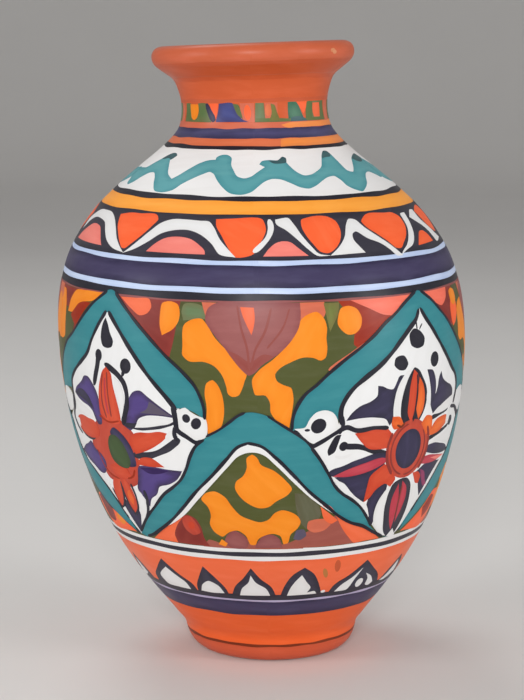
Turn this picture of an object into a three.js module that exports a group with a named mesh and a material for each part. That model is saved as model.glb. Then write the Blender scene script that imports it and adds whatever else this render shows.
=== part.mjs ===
// A hand-thrown talavera pottery vase, 305 mm tall and 203 mm across the belly.
// It is built as a potter builds a pot of this size: a turned foot ring, a floor disc, a thrown lower body,
// a thrown shoulder, a neck collar and a rolled rim, luted together with slip along stepped joints.
// Millimetres, +Z up. The origin is on the surface that the foot stands on, under the middle of the belly.
// The pot leans a little to -X, and its neck and rim are tipped towards -X and +Y, as the clay moved in firing.
import * as THREE from "three";

// Driving dimensions.
const HEIGHT = 304; // on the pot's own axis
const BELLY_HEIGHT = 160; // where the lean crosses the origin's axis
const SEGMENTS = 60; // round the axis
const LEAN = 0.0316; // sideways shift of the axis for each unit of height, to -X
const TIP_TO_LEFT = 0.036; // slope of the rim's plane down towards -X
const TIP_TO_BACK = 0.026; // slope of the rim's plane down towards +Y
const TIP_START = 240; // the shoulder is level up to here
const TIP_END = 300; // and fully tipped from here

// Wall thickness at the foot of the wall, in the body and at the neck.
const WALL_LOW = 8.5;
const WALL_BODY = 6.5;
const WALL_NECK = 6;

// Foot ring and floor.
const FOOT_BORE = 28; // inside the ring, at the ground
const FOOT_LAND = 34.5; // outside the flat that the ring stands on
const FOOT_TOP = 13; // the lower body is luted on here
const BORE_DRAFT = 1; // how much wider the bore is at the floor than at the ground
const FLOOR_RADIUS = 35;
const FLOOR_UNDERSIDE = 7;
const FLOOR_TOP = 15;
const BOWL_START = 26; // the inner wall follows the outer one from this height up
const FILLET_OUT = 3; // the rise from the floor to the inner wall begins with this fillet
const FILLET_UP = 1.2;
const WALL_LOW_TOP = 70; // the wall has its body thickness from here

// Heights of the luted joints, measured on the outer face, and the rise of the step inside them.
const SHOULDER_JOINT = 198;
const NECK_JOINT = 258;
const RIM_JOINT = 288.5;
const JOINT_STEP = 4;
const JOINT_DEPTH = 0.5; // share of the wall's thickness where the step rises
const SLIP = 0.3; // thickness of the slip in every luted joint

// The rolled rim.
const RIM_LAND_OUTER = 46; // the flat land on top runs between these radii
const RIM_LAND_INNER = 41.6;
const MOUTH_RADIUS = 35.4; // inside the roll
const MOUTH_HEIGHT = 296; // of the roll's narrowest point

const point = (radius, height) => new THREE.Vector2(radius, height);

// The foot ring's rounded outer edge, from its flat up to the body.
const footEdge = [
  point(FOOT_LAND, 0),
  point(37.4, 1.1),
  point(39.7, 3),
  point(41.4, 5.4),
  point(42.5, 8),
  point(43.2, 10.5),
];

// The wall's outer face, from the foot ring's top to the underside of the rim's roll: radius, height.
const outerFace = new THREE.SplineCurve([
  point(43.9, FOOT_TOP),
  point(49, 20),
  point(60.6, 35),
  point(67.9, 45),
  point(77, 60),
  point(86, 80),
  point(92.6, 100),
  point(97.3, 120),
  point(100.4, 140),
  point(101.6, BELLY_HEIGHT),
  point(99.6, 185),
  point(95.4, 200),
  point(89, 212),
  point(80.1, 224),
  point(69.8, 234),
  point(58, 244),
  point(48.3, 252),
  point(41.9, 258),
  point(38, 263),
  point(36.3, 269),
  point(36, 275),
  point(37.3, 282),
  point(40.3, 288.5),
]);
// The roll of the rim, outside the wall and inside it, below its flat land.
const rollOutside = [
  point(42.4, 290.1),
  point(45.3, 292.3),
  point(48.2, 294.7),
  point(49.6, 296.8),
  point(50, 299),
  point(49.5, 301.3),
  point(48.2, 303),
];
const rollInside = [point(38.9, 303), point(36.6, 300.2)];

const FACE_SAMPLES = 600;
const facePoints = outerFace.getPoints(FACE_SAMPLES);

// The outer face at one height, and its unit normal pointing out of the clay.
function faceAt(height) {
  const clamped = Math.min(Math.max(height, FOOT_TOP), RIM_JOINT);
  let next = facePoints.findIndex((p) => p.y >= clamped);
  next = Math.max(next, 1);
  const [low, high] = [facePoints[next - 1], facePoints[next]];
  const along = high.clone().sub(low);
  const on = low.clone().lerp(high, (clamped - low.y) / along.y);
  on.y = clamped;
  return { on, normal: point(along.y, -along.x).normalize() };
}

function wallThickness(height) {
  const low = THREE.MathUtils.smoothstep(height, FOOT_TOP, WALL_LOW_TOP);
  const high = THREE.MathUtils.smoothstep(height, SHOULDER_JOINT, NECK_JOINT);
  return WALL_LOW + (WALL_BODY - WALL_LOW) * low + (WALL_NECK - WALL_BODY) * high;
}

// A point in the wall: depth 0 is the outer face and 1 the inner one.
function inWall(height, depth) {
  const { on, normal } = faceAt(height);
  return on.clone().addScaledVector(normal, -depth * wallThickness(height));
}

// Points in the wall at one depth, from one height to another, both included.
function run(from, to, depth, steps) {
  return Array.from({ length: steps + 1 }, (_, i) => inWall(from + ((to - from) * i) / steps, depth));
}

// A stepped joint's line from the outer face to the inner one, as the section below it has it.
function jointBelow(height) {
  return [
    inWall(height, 0),
    inWall(height, JOINT_DEPTH),
    inWall(height + JOINT_STEP, JOINT_DEPTH),
    inWall(height + JOINT_STEP, 1),
  ];
}

// The same line as the section above has it, one layer of slip away.
function jointAbove(height) {
  const depth = JOINT_DEPTH - SLIP / wallThickness(height);
  return [
    inWall(height + SLIP, 0),
    inWall(height + SLIP, depth),
    inWall(height + JOINT_STEP + SLIP, depth),
    inWall(height + JOINT_STEP + SLIP, 1),
  ];
}

// Moves a solid of revolution to where the crooked pot has it.
function settle(geometry) {
  const places = geometry.getAttribute("position");
  for (let i = 0; i < places.count; i += 1) {
    const [x, y, z] = [places.getX(i), places.getY(i), places.getZ(i)];
    const tipped = THREE.MathUtils.smoothstep(z, TIP_START, TIP_END);
    places.setXYZ(i, x + LEAN * (BELLY_HEIGHT - z), y, z + tipped * (TIP_TO_LEFT * x - TIP_TO_BACK * y));
  }
  geometry.computeVertexNormals();
  return geometry;
}

// A named section turned from a closed outline that runs anticlockwise in (radius, height).
function section(name, outline, material) {
  const turned = new THREE.LatheGeometry(outline, SEGMENTS);
  turned.rotateX(Math.PI / 2);
  const mesh = new THREE.Mesh(settle(turned), material);
  mesh.name = name;
  return mesh;
}

const orangeGlaze = new THREE.MeshStandardMaterial({ color: 0xe0622f, roughness: 0.4, metalness: 0 });
const whiteGlaze = new THREE.MeshStandardMaterial({ color: 0xe9e4de, roughness: 0.3, metalness: 0 });
const bareClay = new THREE.MeshStandardMaterial({ color: 0xb5562f, roughness: 0.9, metalness: 0 });

function footRing() {
  return [
    point(FOOT_BORE, 0),
    ...footEdge,
    inWall(FOOT_TOP, 0),
    point(FLOOR_RADIUS, FOOT_TOP),
    point(FLOOR_RADIUS, FLOOR_UNDERSIDE),
    point(FOOT_BORE + BORE_DRAFT, FLOOR_UNDERSIDE),
    point(FOOT_BORE, 0),
  ];
}

function floorDisc() {
  const edge = FLOOR_RADIUS - SLIP;
  return [
    point(0, FLOOR_UNDERSIDE + SLIP),
    point(edge, FLOOR_UNDERSIDE + SLIP),
    point(edge, FLOOR_TOP),
    point(0, FLOOR_TOP),
  ];
}

function lowerBody() {
  return [
    point(FLOOR_RADIUS, FOOT_TOP + SLIP),
    ...run(FOOT_TOP + SLIP, SHOULDER_JOINT, 0, 17),
    ...jointBelow(SHOULDER_JOINT).slice(1),
    ...run(SHOULDER_JOINT + JOINT_STEP, BOWL_START, 1, 13).slice(1),
    point(FLOOR_RADIUS + FILLET_OUT, FLOOR_TOP + FILLET_UP),
    point(FLOOR_RADIUS, FLOOR_TOP),
    point(FLOOR_RADIUS, FOOT_TOP + SLIP),
  ];
}

function shoulder() {
  return [
    ...jointAbove(SHOULDER_JOINT).reverse(),
    ...run(SHOULDER_JOINT + SLIP, NECK_JOINT, 0, 12).slice(1),
    ...jointBelow(NECK_JOINT).slice(1),
    ...run(NECK_JOINT + JOINT_STEP, SHOULDER_JOINT + JOINT_STEP + SLIP, 1, 9).slice(1),
  ];
}

function neckCollar() {
  return [
    ...jointAbove(NECK_JOINT).reverse(),
    ...run(NECK_JOINT + SLIP, RIM_JOINT, 0, 8).slice(1),
    ...run(RIM_JOINT, NECK_JOINT + JOINT_STEP + SLIP, 1, 7),
  ];
}

function rolledRim() {
  const slip = point(0, SLIP);
  const outside = inWall(RIM_JOINT, 0).add(slip);
  const inside = inWall(RIM_JOINT, 1).add(slip);
  return [
    inside,
    outside,
    ...rollOutside,
    point(RIM_LAND_OUTER, HEIGHT),
    point(RIM_LAND_INNER, HEIGHT),
    ...rollInside,
    point(MOUTH_RADIUS, MOUTH_HEIGHT),
    inside,
  ];
}

const vase = new THREE.Group();
vase.add(
  section("foot_ring", footRing(), bareClay),
  section("floor_disc", floorDisc(), bareClay),
  section("lower_body", lowerBody(), orangeGlaze),
  section("shoulder", shoulder(), whiteGlaze),
  section("neck_collar", neckCollar(), orangeGlaze),
  section("rolled_rim", rolledRim(), orangeGlaze),
);

export default vase;
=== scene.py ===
"""A hand-painted talavera pottery vase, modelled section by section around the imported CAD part.

The clay is six turned sections. The painting lies on them as thin closed skins of glaze. Every painted
outline is given by points on the unrolled pot: (turn, height). Turn is in degrees round the pot from the
front, positive towards +X. Height is in millimetres above the ground, before the pot's lean and tip.
"""

import math
import random

import bpy
import numpy as np
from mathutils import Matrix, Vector, geometry


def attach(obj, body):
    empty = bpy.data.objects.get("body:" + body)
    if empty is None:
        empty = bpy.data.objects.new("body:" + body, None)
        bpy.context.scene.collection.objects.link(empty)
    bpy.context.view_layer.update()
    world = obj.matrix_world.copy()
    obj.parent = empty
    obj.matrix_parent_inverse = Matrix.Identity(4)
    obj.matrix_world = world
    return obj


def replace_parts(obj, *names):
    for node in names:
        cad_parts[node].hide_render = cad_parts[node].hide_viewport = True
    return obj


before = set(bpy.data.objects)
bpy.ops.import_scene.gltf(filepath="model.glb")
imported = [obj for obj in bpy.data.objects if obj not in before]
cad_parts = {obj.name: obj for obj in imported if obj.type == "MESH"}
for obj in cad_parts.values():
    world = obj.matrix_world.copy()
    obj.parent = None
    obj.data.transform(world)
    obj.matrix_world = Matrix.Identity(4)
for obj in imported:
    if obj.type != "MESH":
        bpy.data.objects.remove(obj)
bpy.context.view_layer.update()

MM = 0.001
SEED = 7
FULL_TURN, HALF_TURN = 360, 180

# The crooked pot: how the turned shape is moved to where the CAD sections have it.
BELLY_HEIGHT = 160
LEAN = 0.0316
TIP_TO_LEFT = 0.036
TIP_TO_BACK = 0.026
TIP_START = 240
TIP_END = 300

# Heights of the luted joints between the sections, and the stepped form of the joints.
FOOT_TOP = 13
SHOULDER_JOINT = 198
NECK_JOINT = 258
RIM_JOINT = 288.5
POT_TOP = 304
JOINT_STEP = 4
JOINT_DEPTH = 0.5

# The clay's inside.
WALL_LOW = 8.5
WALL_BODY = 6.5
WALL_NECK = 6
WALL_LOW_TOP = 70
FOOT_BORE = 28
FLOOR_RADIUS = 35
FLOOR_UNDERSIDE = 7
FLOOR_TOP = 15
BORE_DRAFT = 1  # how much wider the bore is at the floor disc than at the ground
FLOOR_SAG = [(24, 0.3), (12, 0.2), (0.01, 0.2)]  # radius, and how far the disc's top lies below FLOOR_TOP
BOWL_START = 26
FILLET_OUT = 3  # the rise from the floor to the inner wall begins with this fillet
FILLET_UP = 1.2

# The outer face from the ground to the top of the rim's roll: radius, height.
FOOT_LAND = 34.5
OUTER_FACE = [
    (FOOT_LAND, 0), (37.4, 1.1), (39.7, 3), (41.4, 5.4), (42.5, 8), (43.2, 10.5), (43.9, 13), (49, 20),
    (60.6, 35), (67.9, 45), (77, 60), (86, 80), (92.6, 100), (97.3, 120), (100.4, 140), (101.6, 160),
    (99.6, 185), (95.4, 200), (89, 212), (80.1, 224), (69.8, 234), (58, 244), (48.3, 252), (41.9, 258),
    (38, 263), (36.3, 269), (36, 275), (37.3, 282), (40.3, 288.5), (42.4, 290.1), (45.3, 292.3),
    (48.2, 294.7), (49.6, 296.8), (50, 299), (49.5, 301.3), (48.2, 303),
]
RIM_TOP = [(46, POT_TOP), (41.6, POT_TOP), (38.9, 303), (36.6, 300.2), (35.4, 296)]
ROLL_POINTS = 8  # the last points of the outer face belong to the rim's roll

# How fine the meshes are.
ROUND_STEPS = 240
ROW_STEP = 1.25
FACE_STEP = 0.25
ROLL_STEP = 0.8
BODY_STEP, SHOULDER_STEP, COLLAR_STEP = 5, 4, 2  # up the inner wall
OUTLINE_SHARE = 0.013  # steps along an outline, as a share of the pot's radius there
GRID_SHARE = 0.021  # and between inner points
LINE_SHARE = 0.8  # a line's steps, as a share of an outline's
INNER_GAP = 0.4  # inner points keep this share of their step away from the outline
SAME_PLACE = 0.001  # points of an outline nearer than this are one
DAB_POINTS = 20
SHORTEST = 1e-6  # a length counts as at least this much
TINY = 1e-9  # stands in for a zero that something is divided by

# How far in from a shape's rim its colour changes, in millimetres.
RIM_WIDTH = 3.5

# How thick the glaze lies, in millimetres off the clay.
SUNK = 0.15
RING_COAT = 0.03
RING_LAP = 0.025  # every second ring lies this much higher
RING_SPARE = 0.5  # and the rings between reach this far under it
FIRST_COAT = 0.08
COAT = 0.03

FLOOR_GAP = 0.0004  # metres between the pot's foot and the studio floor

# A turn sharper than this in an outline stays a corner; gentler ones are drawn as a curve.
CORNER_TURN = math.radians(78)
# A bend sharper than this in a turned outline is shaded as an edge.
EDGE_BEND = math.radians(35)
LEAST_RISE = 0.2  # the flattest parts of the face count as rising at least this much

# A brush stroke: the share of its width left at its ends, how soon it is full, and how its width wavers.
STROKE_TIP = 0.35
STROKE_FULL = 0.8
WAVER_LONG = (0.1, 4.3)  # share of the width, and millimetres for each radian
WAVER_SHORT = (0.06, 1.9)
DAB_WAVER = 0.05
RING_WAVER = 0.25
RING_WAVES = range(2, 22, 4)  # waves in a turn of the pot


def smoothstep(value, low, high):
    share = np.clip((value - low) / (high - low), 0, 1)
    return share * share * (3 - 2 * share)


def curve_through(points, step, closed=False):
    """A smooth line through the points, in even steps, that keeps its sharp corners."""
    points = np.array(points, float)
    count = len(points)
    after = np.roll(points, -1, axis=0) - points
    if not closed:
        after[-1] = after[-2]
    before = np.roll(after, 1, axis=0)
    if not closed:
        before[0] = after[0]
    length_after = np.maximum(np.hypot(*after.T), SHORTEST)[:, None]
    length_before = np.maximum(np.hypot(*before.T), SHORTEST)[:, None]
    heading_out, heading_in = after / length_after, before / length_before
    blended = (heading_out * length_before + heading_in * length_after) / (length_before + length_after)
    straightness = np.einsum("ij,ij->i", heading_out, heading_in)[:, None]
    blended *= (1 + straightness) / 2
    corner = straightness < math.cos(CORNER_TURN)
    leave = np.where(corner, heading_out, blended)
    arrive = np.where(corner, heading_in, blended)
    line = []
    for i in range(count if closed else count - 1):
        j = (i + 1) % count
        length = length_after[i, 0]
        steps = max(1, int(round(length / step)))
        t = (np.arange(steps) / steps)[:, None]
        line.append(
            points[i] * (2 * t**3 - 3 * t**2 + 1)
            + leave[i] * length * (t**3 - 2 * t**2 + t)
            + points[j] * (3 * t**2 - 2 * t**3)
            + arrive[j] * length * (t**3 - t**2)
        )
    if not closed:
        line.append(points[-1:])
    return np.concatenate(line)


FACE = curve_through(OUTER_FACE, FACE_STEP)
FACE_SLOPE = np.gradient(FACE, axis=0)
FACE_SLOPE /= np.hypot(*FACE_SLOPE.T)[:, None]


def radius_at(height):
    return np.interp(height, FACE[:, 1], FACE[:, 0])


def stretch_at(height):
    """Millimetres along the face for each millimetre of height."""
    return 1 / np.maximum(np.interp(height, FACE[:, 1], FACE_SLOPE[:, 1]), LEAST_RISE)


def settle(radius, turn, height):
    """Turned points, moved to where the crooked pot has them: metres, in the row frame."""
    angle = np.radians(turn)
    x = radius * np.sin(angle)
    y = -radius * np.cos(angle)
    tipped = smoothstep(height, TIP_START, TIP_END)
    raised = height + tipped * (TIP_TO_LEFT * x - TIP_TO_BACK * y)
    return np.stack([x + LEAN * (BELLY_HEIGHT - height), y, raised], -1) * MM


def off_face(height, lift):
    """Radius and height of points lifted off the outer face along its normal by lift millimetres."""
    out = np.interp(height, FACE[:, 1], FACE_SLOPE[:, 1])
    up = -np.interp(height, FACE[:, 1], FACE_SLOPE[:, 0])
    return radius_at(height) + lift * out, height + lift * up


def on_pot(turn, height, lift):
    """Points on the pot, lifted off its outer face by lift millimetres."""
    radius, raised = off_face(height, lift)
    return settle(radius, turn, raised)


def quad(low_row, high_row, k, sides):
    """The k-th face between two rows of a mesh that goes all the way round."""
    n = (k + 1) % sides
    return (low_row * sides + k, low_row * sides + n, high_row * sides + n, high_row * sides + k)


# ---------------------------------------------------------------------------------- glazes and clay

# The mix node's colour sockets, by number because several of its sockets share one name.
MIX_FIRST, MIX_SECOND, MIX_RESULT = 6, 7, 2
NOISE_ROUGHNESS = 0.55

# The glaze. A noise is given by its scale for each metre, its detail and its stretch.
STREAKS = (240, 4, (0.2, 1, 1))  # long along the brush stroke
CLOUDS = (55, 3)
FINE = (900, 2)
RIM_WAVER = 0.9  # how much clouds move the edge between the rim's colour and the main one
RIM_SPREAD = (0.05, 0.85)
STREAK_SPREAD = (0.46, 0.78, 0, 0.7)
GLOSS_SPREAD = (0.3, 0.7, 0.34, 0.5)  # the last two are the least and the most roughness
SKIN_BUMP = (0.1, 0.0002)  # strength, and distance in metres
STREAK_BUMP = (0.07, 0.0003)
SPECULAR = 0.15
COAT_WEIGHT, COAT_ROUGHNESS = 0.05, 0.3

# Bare terracotta: its colours, its noises and how they are spread.
CLAY_DEEP, CLAY_PALE, CLAY_RING, CLAY_SPECK = (186, 98, 62), (204, 120, 82), (160, 78, 50), (96, 52, 38)
GRAIN = (700, 5)
PATCHES = (30, 3)
TURNING = (60, 2, (0.3, 0.3, 6))  # the turning marks go round the pot
PATCH_SPREAD = (0.35, 0.65)
TURNING_SPREAD = (0.45, 0.7, 0, 0.5)
SPECK_SPREAD = (0.66, 0.72)
CLAY_ROUGHNESS_SPREAD = (0.3, 0.7, 0.8, 0.95)
GRAIN_BUMP = (0.5, 0.0004)

STUDIO_TONES = (221, 219, 216), (223, 221, 218)
STUDIO_CLOUDS = (5, 3)
STUDIO_SPREAD = (0.3, 0.7)
MATT = 0.9


def linear(colour):
    """A colour given in 0-255 display values, as the shader wants it."""
    share = [c / 255 for c in colour]
    return [c / 12.92 if c <= 0.04045 else ((c + 0.055) / 1.055) ** 2.4 for c in share] + [1.0]


class NodeTree:
    """A short way to add and link a material's nodes."""

    def __init__(self, name):
        self.material = bpy.data.materials.new(name)
        self.material.use_nodes = True
        self.nodes = self.material.node_tree.nodes
        self.links = self.material.node_tree.links
        self.shader = self.nodes["Principled BSDF"]

    def add(self, kind, **settings):
        node = self.nodes.new(kind)
        for name, value in settings.items():
            if hasattr(node, name):
                setattr(node, name, value)
            else:
                node.inputs[name.replace("_", " ")].default_value = value
        return node

    def link(self, source, target):
        self.links.new(source, target)

    def noise(self, place, scale, detail, stretch=(1, 1, 1)):
        mapping = self.add("ShaderNodeMapping", Scale=stretch)
        noise = self.add("ShaderNodeTexNoise", Scale=scale, Detail=detail, Roughness=NOISE_ROUGHNESS)
        self.link(place, mapping.inputs["Vector"])
        self.link(mapping.outputs["Vector"], noise.inputs["Vector"])
        return noise.outputs["Fac"]

    def spread(self, value, low, high, to_low=0.0, to_high=1.0):
        node = self.add("ShaderNodeMapRange", From_Min=low, From_Max=high, To_Min=to_low, To_Max=to_high)
        self.link(value, node.inputs["Value"])
        return node.outputs["Result"]

    def mix(self, share, first, second):
        """Mixes two colours; each is a colour or another node's output."""
        node = self.add("ShaderNodeMix", data_type="RGBA")
        self.link(share, node.inputs["Factor"])
        for value, socket in ((first, node.inputs[MIX_FIRST]), (second, node.inputs[MIX_SECOND])):
            if isinstance(value, bpy.types.NodeSocket):
                self.link(value, socket)
            else:
                socket.default_value = value
        return node.outputs[MIX_RESULT]

    def bump(self, height, strength, distance, under=None):
        node = self.add("ShaderNodeBump", Strength=strength, Distance=distance)
        self.link(height, node.inputs["Height"])
        if under is not None:
            self.link(under, node.inputs["Normal"])
        return node.outputs["Normal"]


def glaze(name, main, edge, streak):
    """Brushed glaze: one colour in the middle of a shape and another towards its rim, with streaks along
    the brush stroke, a faint orange-peel skin and a soft gloss."""
    tree = NodeTree(name)
    place = tree.add("ShaderNodeTexCoord").outputs["Object"]
    brush = tree.add("ShaderNodeUVMap", uv_map="brush").outputs["UV"]
    depth = tree.add("ShaderNodeAttribute", attribute_name="depth").outputs["Fac"]
    streaks = tree.noise(brush, *STREAKS)
    clouds = tree.noise(place, *CLOUDS)
    fine = tree.noise(place, *FINE)
    wavering = tree.add("ShaderNodeMath", operation="MULTIPLY_ADD")
    tree.link(clouds, wavering.inputs[0])
    wavering.inputs[1].default_value = RIM_WAVER
    wavering.inputs[2].default_value = -RIM_WAVER / 2
    reach = tree.add("ShaderNodeMath", operation="ADD")
    tree.link(depth, reach.inputs[0])
    tree.link(wavering.outputs[0], reach.inputs[1])
    body = tree.mix(tree.spread(reach.outputs[0], *RIM_SPREAD), linear(edge), linear(main))
    streaked = tree.mix(tree.spread(streaks, *STREAK_SPREAD), body, linear(streak))
    tree.link(streaked, tree.shader.inputs["Base Color"])
    tree.link(tree.spread(clouds, *GLOSS_SPREAD), tree.shader.inputs["Roughness"])
    skin = tree.bump(fine, *SKIN_BUMP)
    tree.link(tree.bump(streaks, *STREAK_BUMP, skin), tree.shader.inputs["Normal"])
    tree.shader.inputs["Specular IOR Level"].default_value = SPECULAR
    tree.shader.inputs["Coat Weight"].default_value = COAT_WEIGHT
    tree.shader.inputs["Coat Roughness"].default_value = COAT_ROUGHNESS
    return tree.material


def bare_clay():
    """Unglazed terracotta: grainy and patchy, with turning marks and dark specks."""
    tree = NodeTree("bare_clay")
    place = tree.add("ShaderNodeTexCoord").outputs["Object"]
    grain = tree.noise(place, *GRAIN)
    cloud = tree.noise(place, *PATCHES)
    rings = tree.noise(place, *TURNING)
    body = tree.mix(tree.spread(cloud, *PATCH_SPREAD), linear(CLAY_DEEP), linear(CLAY_PALE))
    ringed = tree.mix(tree.spread(rings, *TURNING_SPREAD), body, linear(CLAY_RING))
    specked = tree.mix(tree.spread(grain, *SPECK_SPREAD), ringed, linear(CLAY_SPECK))
    tree.link(specked, tree.shader.inputs["Base Color"])
    tree.link(tree.spread(grain, *CLAY_ROUGHNESS_SPREAD), tree.shader.inputs["Roughness"])
    tree.link(tree.bump(grain, *GRAIN_BUMP), tree.shader.inputs["Normal"])
    return tree.material


def pale_floor():
    """Matt studio paper, very slightly clouded."""
    tree = NodeTree("pale_floor")
    place = tree.add("ShaderNodeTexCoord").outputs["Object"]
    cloud = tree.noise(place, *STUDIO_CLOUDS)
    tone = tree.mix(tree.spread(cloud, *STUDIO_SPREAD), *[linear(tone) for tone in STUDIO_TONES])
    tree.link(tone, tree.shader.inputs["Base Color"])
    tree.shader.inputs["Roughness"].default_value = MATT
    return tree.material


# Each paint: its main colour, its colour towards a shape's rim, its brush streaks, and the record's slot.
PAINTS = {
    "orange": ((222, 92, 42), (216, 88, 40), (230, 104, 56), "orange_glaze"),
    "leaf_orange": ((228, 104, 64), (224, 98, 58), (234, 114, 78), "orange_glaze"),
    "neck_orange": ((194, 86, 47), (188, 80, 42), (206, 98, 62), "orange_glaze"),
    "rim_orange": ((190, 92, 60), (184, 84, 54), (202, 102, 76), "orange_glaze"),
    "low_orange": ((192, 84, 54), (184, 78, 50), (204, 94, 64), "orange_glaze"),
    "white": ((222, 222, 222), (217, 216, 215), (217, 217, 216), "white_glaze"),
    "wave_white": ((230, 230, 229), (227, 226, 224), (222, 221, 219), "white_glaze"),
    "teal": ((52, 126, 134), (42, 116, 126), (64, 136, 142), "teal_glaze"),
    "wave_teal": ((88, 156, 162), (72, 142, 150), (104, 166, 170), "teal_glaze"),
    "wave_shade": ((62, 96, 100), (52, 82, 88), (74, 112, 112), "teal_glaze"),
    "navy": ((62, 56, 86), (44, 40, 66), (74, 70, 100), "cobalt_glaze"),
    "blue": ((66, 72, 126), (62, 60, 104), (80, 84, 134), "cobalt_glaze"),
    "black": ((40, 39, 48), (34, 33, 42), (52, 50, 60), "black_line"),
    "charcoal": ((54, 52, 62), (44, 42, 52), (64, 62, 72), "black_line"),
    "leaf_line": ((56, 54, 68), (48, 44, 54), (66, 66, 80), "black_line"),
    "pale_blue": ((196, 211, 234), (172, 188, 222), (208, 219, 240), "pale_blue_glaze"),
    "lilac": ((180, 172, 196), (170, 160, 190), (190, 182, 206), "pale_blue_glaze"),
    "amber": ((231, 134, 32), (228, 126, 26), (238, 144, 48), "amber_glaze"),
    "gold": ((246, 162, 62), (238, 150, 50), (250, 172, 78), "amber_glaze"),
    "olive": ((76, 80, 42), (74, 74, 42), (90, 92, 62), "olive_glaze"),
    "sand": ((208, 146, 108), (200, 126, 88), (216, 158, 122), "orange_glaze"),
    "grey_olive": ((92, 92, 70), (88, 84, 62), (104, 104, 86), "olive_glaze"),
    "olive_tan": ((158, 118, 60), (176, 114, 62), (166, 126, 72), "olive_glaze"),
    "eye_green": ((64, 82, 50), (58, 70, 46), (76, 92, 60), "olive_glaze"),
    "sage": ((96, 118, 82), (104, 108, 74), (108, 128, 94), "olive_glaze"),
    "deep_green": ((60, 110, 84), (52, 96, 74), (74, 124, 96), "olive_glaze"),
    "maroon": ((143, 84, 82), (132, 72, 72), (154, 94, 92), "maroon_glaze"),
    "maroon_shade": ((134, 60, 54), (140, 72, 66), (142, 74, 68), "maroon_glaze"),
    "umber": ((148, 80, 70), (154, 84, 70), (160, 92, 80), "maroon_glaze"),
    "dark_maroon": ((128, 64, 54), (114, 50, 46), (138, 74, 64), "maroon_glaze"),
    "brick": ((122, 44, 38), (132, 50, 44), (138, 58, 50), "maroon_glaze"),
    "rust": ((140, 34, 8), (148, 42, 14), (154, 50, 24), "maroon_glaze"),
    "brown_line": ((118, 50, 26), (108, 44, 22), (134, 62, 34), "maroon_glaze"),
    "coral": ((232, 110, 88), (224, 104, 82), (240, 126, 106), "coral_glaze"),
    "neck_coral": ((192, 100, 76), (198, 100, 74), (206, 116, 90), "coral_glaze"),
    "neck_tan": ((214, 114, 76), (204, 106, 68), (222, 126, 88), "coral_glaze"),
    "neck_amber": ((236, 142, 62), (222, 132, 72), (240, 150, 84), "amber_glaze"),
    # A darker orange for dabs and a neck band; where it rings the neck just under the rim's roll it is
    # painted shade.
    "neck_shade": ((182, 80, 50), (186, 84, 50), (192, 92, 62), "orange_glaze"),
    "neck_navy": ((74, 72, 110), (54, 52, 80), (86, 84, 118), "cobalt_glaze"),
    "moss": ((82, 106, 60), (94, 102, 62), (94, 116, 74), "olive_glaze"),
    "olive_green": ((104, 116, 58), (110, 104, 58), (120, 128, 72), "olive_glaze"),
    "pink": ((230, 126, 114), (224, 118, 108), (236, 140, 128), "coral_glaze"),
    "crimson": ((182, 62, 76), (170, 52, 66), (196, 82, 92), "coral_glaze"),
    "magenta": ((162, 72, 110), (130, 54, 88), (174, 86, 122), "coral_glaze"),
    "vermilion": ((240, 98, 52), (234, 92, 48), (244, 112, 68), "vermilion_glaze"),
    "petal_red": ((198, 74, 46), (188, 62, 38), (210, 88, 62), "vermilion_glaze"),
    "body_red": ((182, 68, 50), (166, 60, 46), (194, 84, 64), "vermilion_glaze"),
    "petal_orange": ((226, 108, 44), (208, 84, 36), (234, 124, 62), "vermilion_glaze"),
    "petal_purple": ((78, 62, 120), (58, 48, 76), (88, 74, 130), "purple_glaze"),
    "petal_navy": ((54, 50, 74), (44, 42, 58), (68, 62, 92), "purple_glaze"),
    "plum": ((52, 26, 84), (46, 30, 76), (64, 38, 98), "purple_glaze"),
    "dusk": ((84, 76, 96), (88, 80, 94), (92, 84, 108), "purple_glaze"),
}
materials = {}


def paint(name):
    """The material of one paint, made the first time it is asked for."""
    if name not in materials:
        if name == "clay":
            materials[name] = bare_clay()
        else:
            materials[name] = glaze(name + "_glaze", *PAINTS[name][:3])
    return materials[name]


# ------------------------------------------------------------------------------------ mesh building


def make_object(name, places, faces, brush, depth, paints, face_paint=None, sharp=None):
    """A mesh object of the pot, with brush coordinates, depth inside its shape, paints and sharp edges."""
    mesh = bpy.data.meshes.new(name)
    mesh.from_pydata(places, [], faces)
    for item in paints:
        mesh.materials.append(item)
    if face_paint is not None:
        mesh.polygons.foreach_set("material_index", np.array(face_paint, np.int32))
    mesh.polygons.foreach_set("use_smooth", np.ones(len(faces), bool))
    corners = np.zeros(len(mesh.loops), np.int32)
    mesh.loops.foreach_get("vertex_index", corners)
    layer = mesh.uv_layers.new(name="brush")
    layer.data.foreach_set("uv", np.array(brush, np.float32)[corners].ravel())
    mesh.attributes.new("depth", "FLOAT", "POINT").data.foreach_set("value", np.array(depth, np.float32))
    if sharp is not None:
        ends = np.zeros(len(mesh.edges) * 2, np.int32)
        mesh.edges.foreach_get("vertices", ends)
        ends = np.sort(ends.reshape(-1, 2).astype(np.int64), axis=1)
        keys = ends[:, 0] * len(places) + ends[:, 1]
        wanted = np.sort(np.array(sharp, np.int64), axis=1)
        flags = np.isin(keys, wanted[:, 0] * len(places) + wanted[:, 1])
        mesh.attributes.new("sharp_edge", "BOOLEAN", "EDGE").data.foreach_set("value", flags)
    mesh.validate()
    piece = bpy.data.objects.new(name, mesh)
    bpy.context.scene.collection.objects.link(piece)
    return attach(piece, "root")


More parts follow.
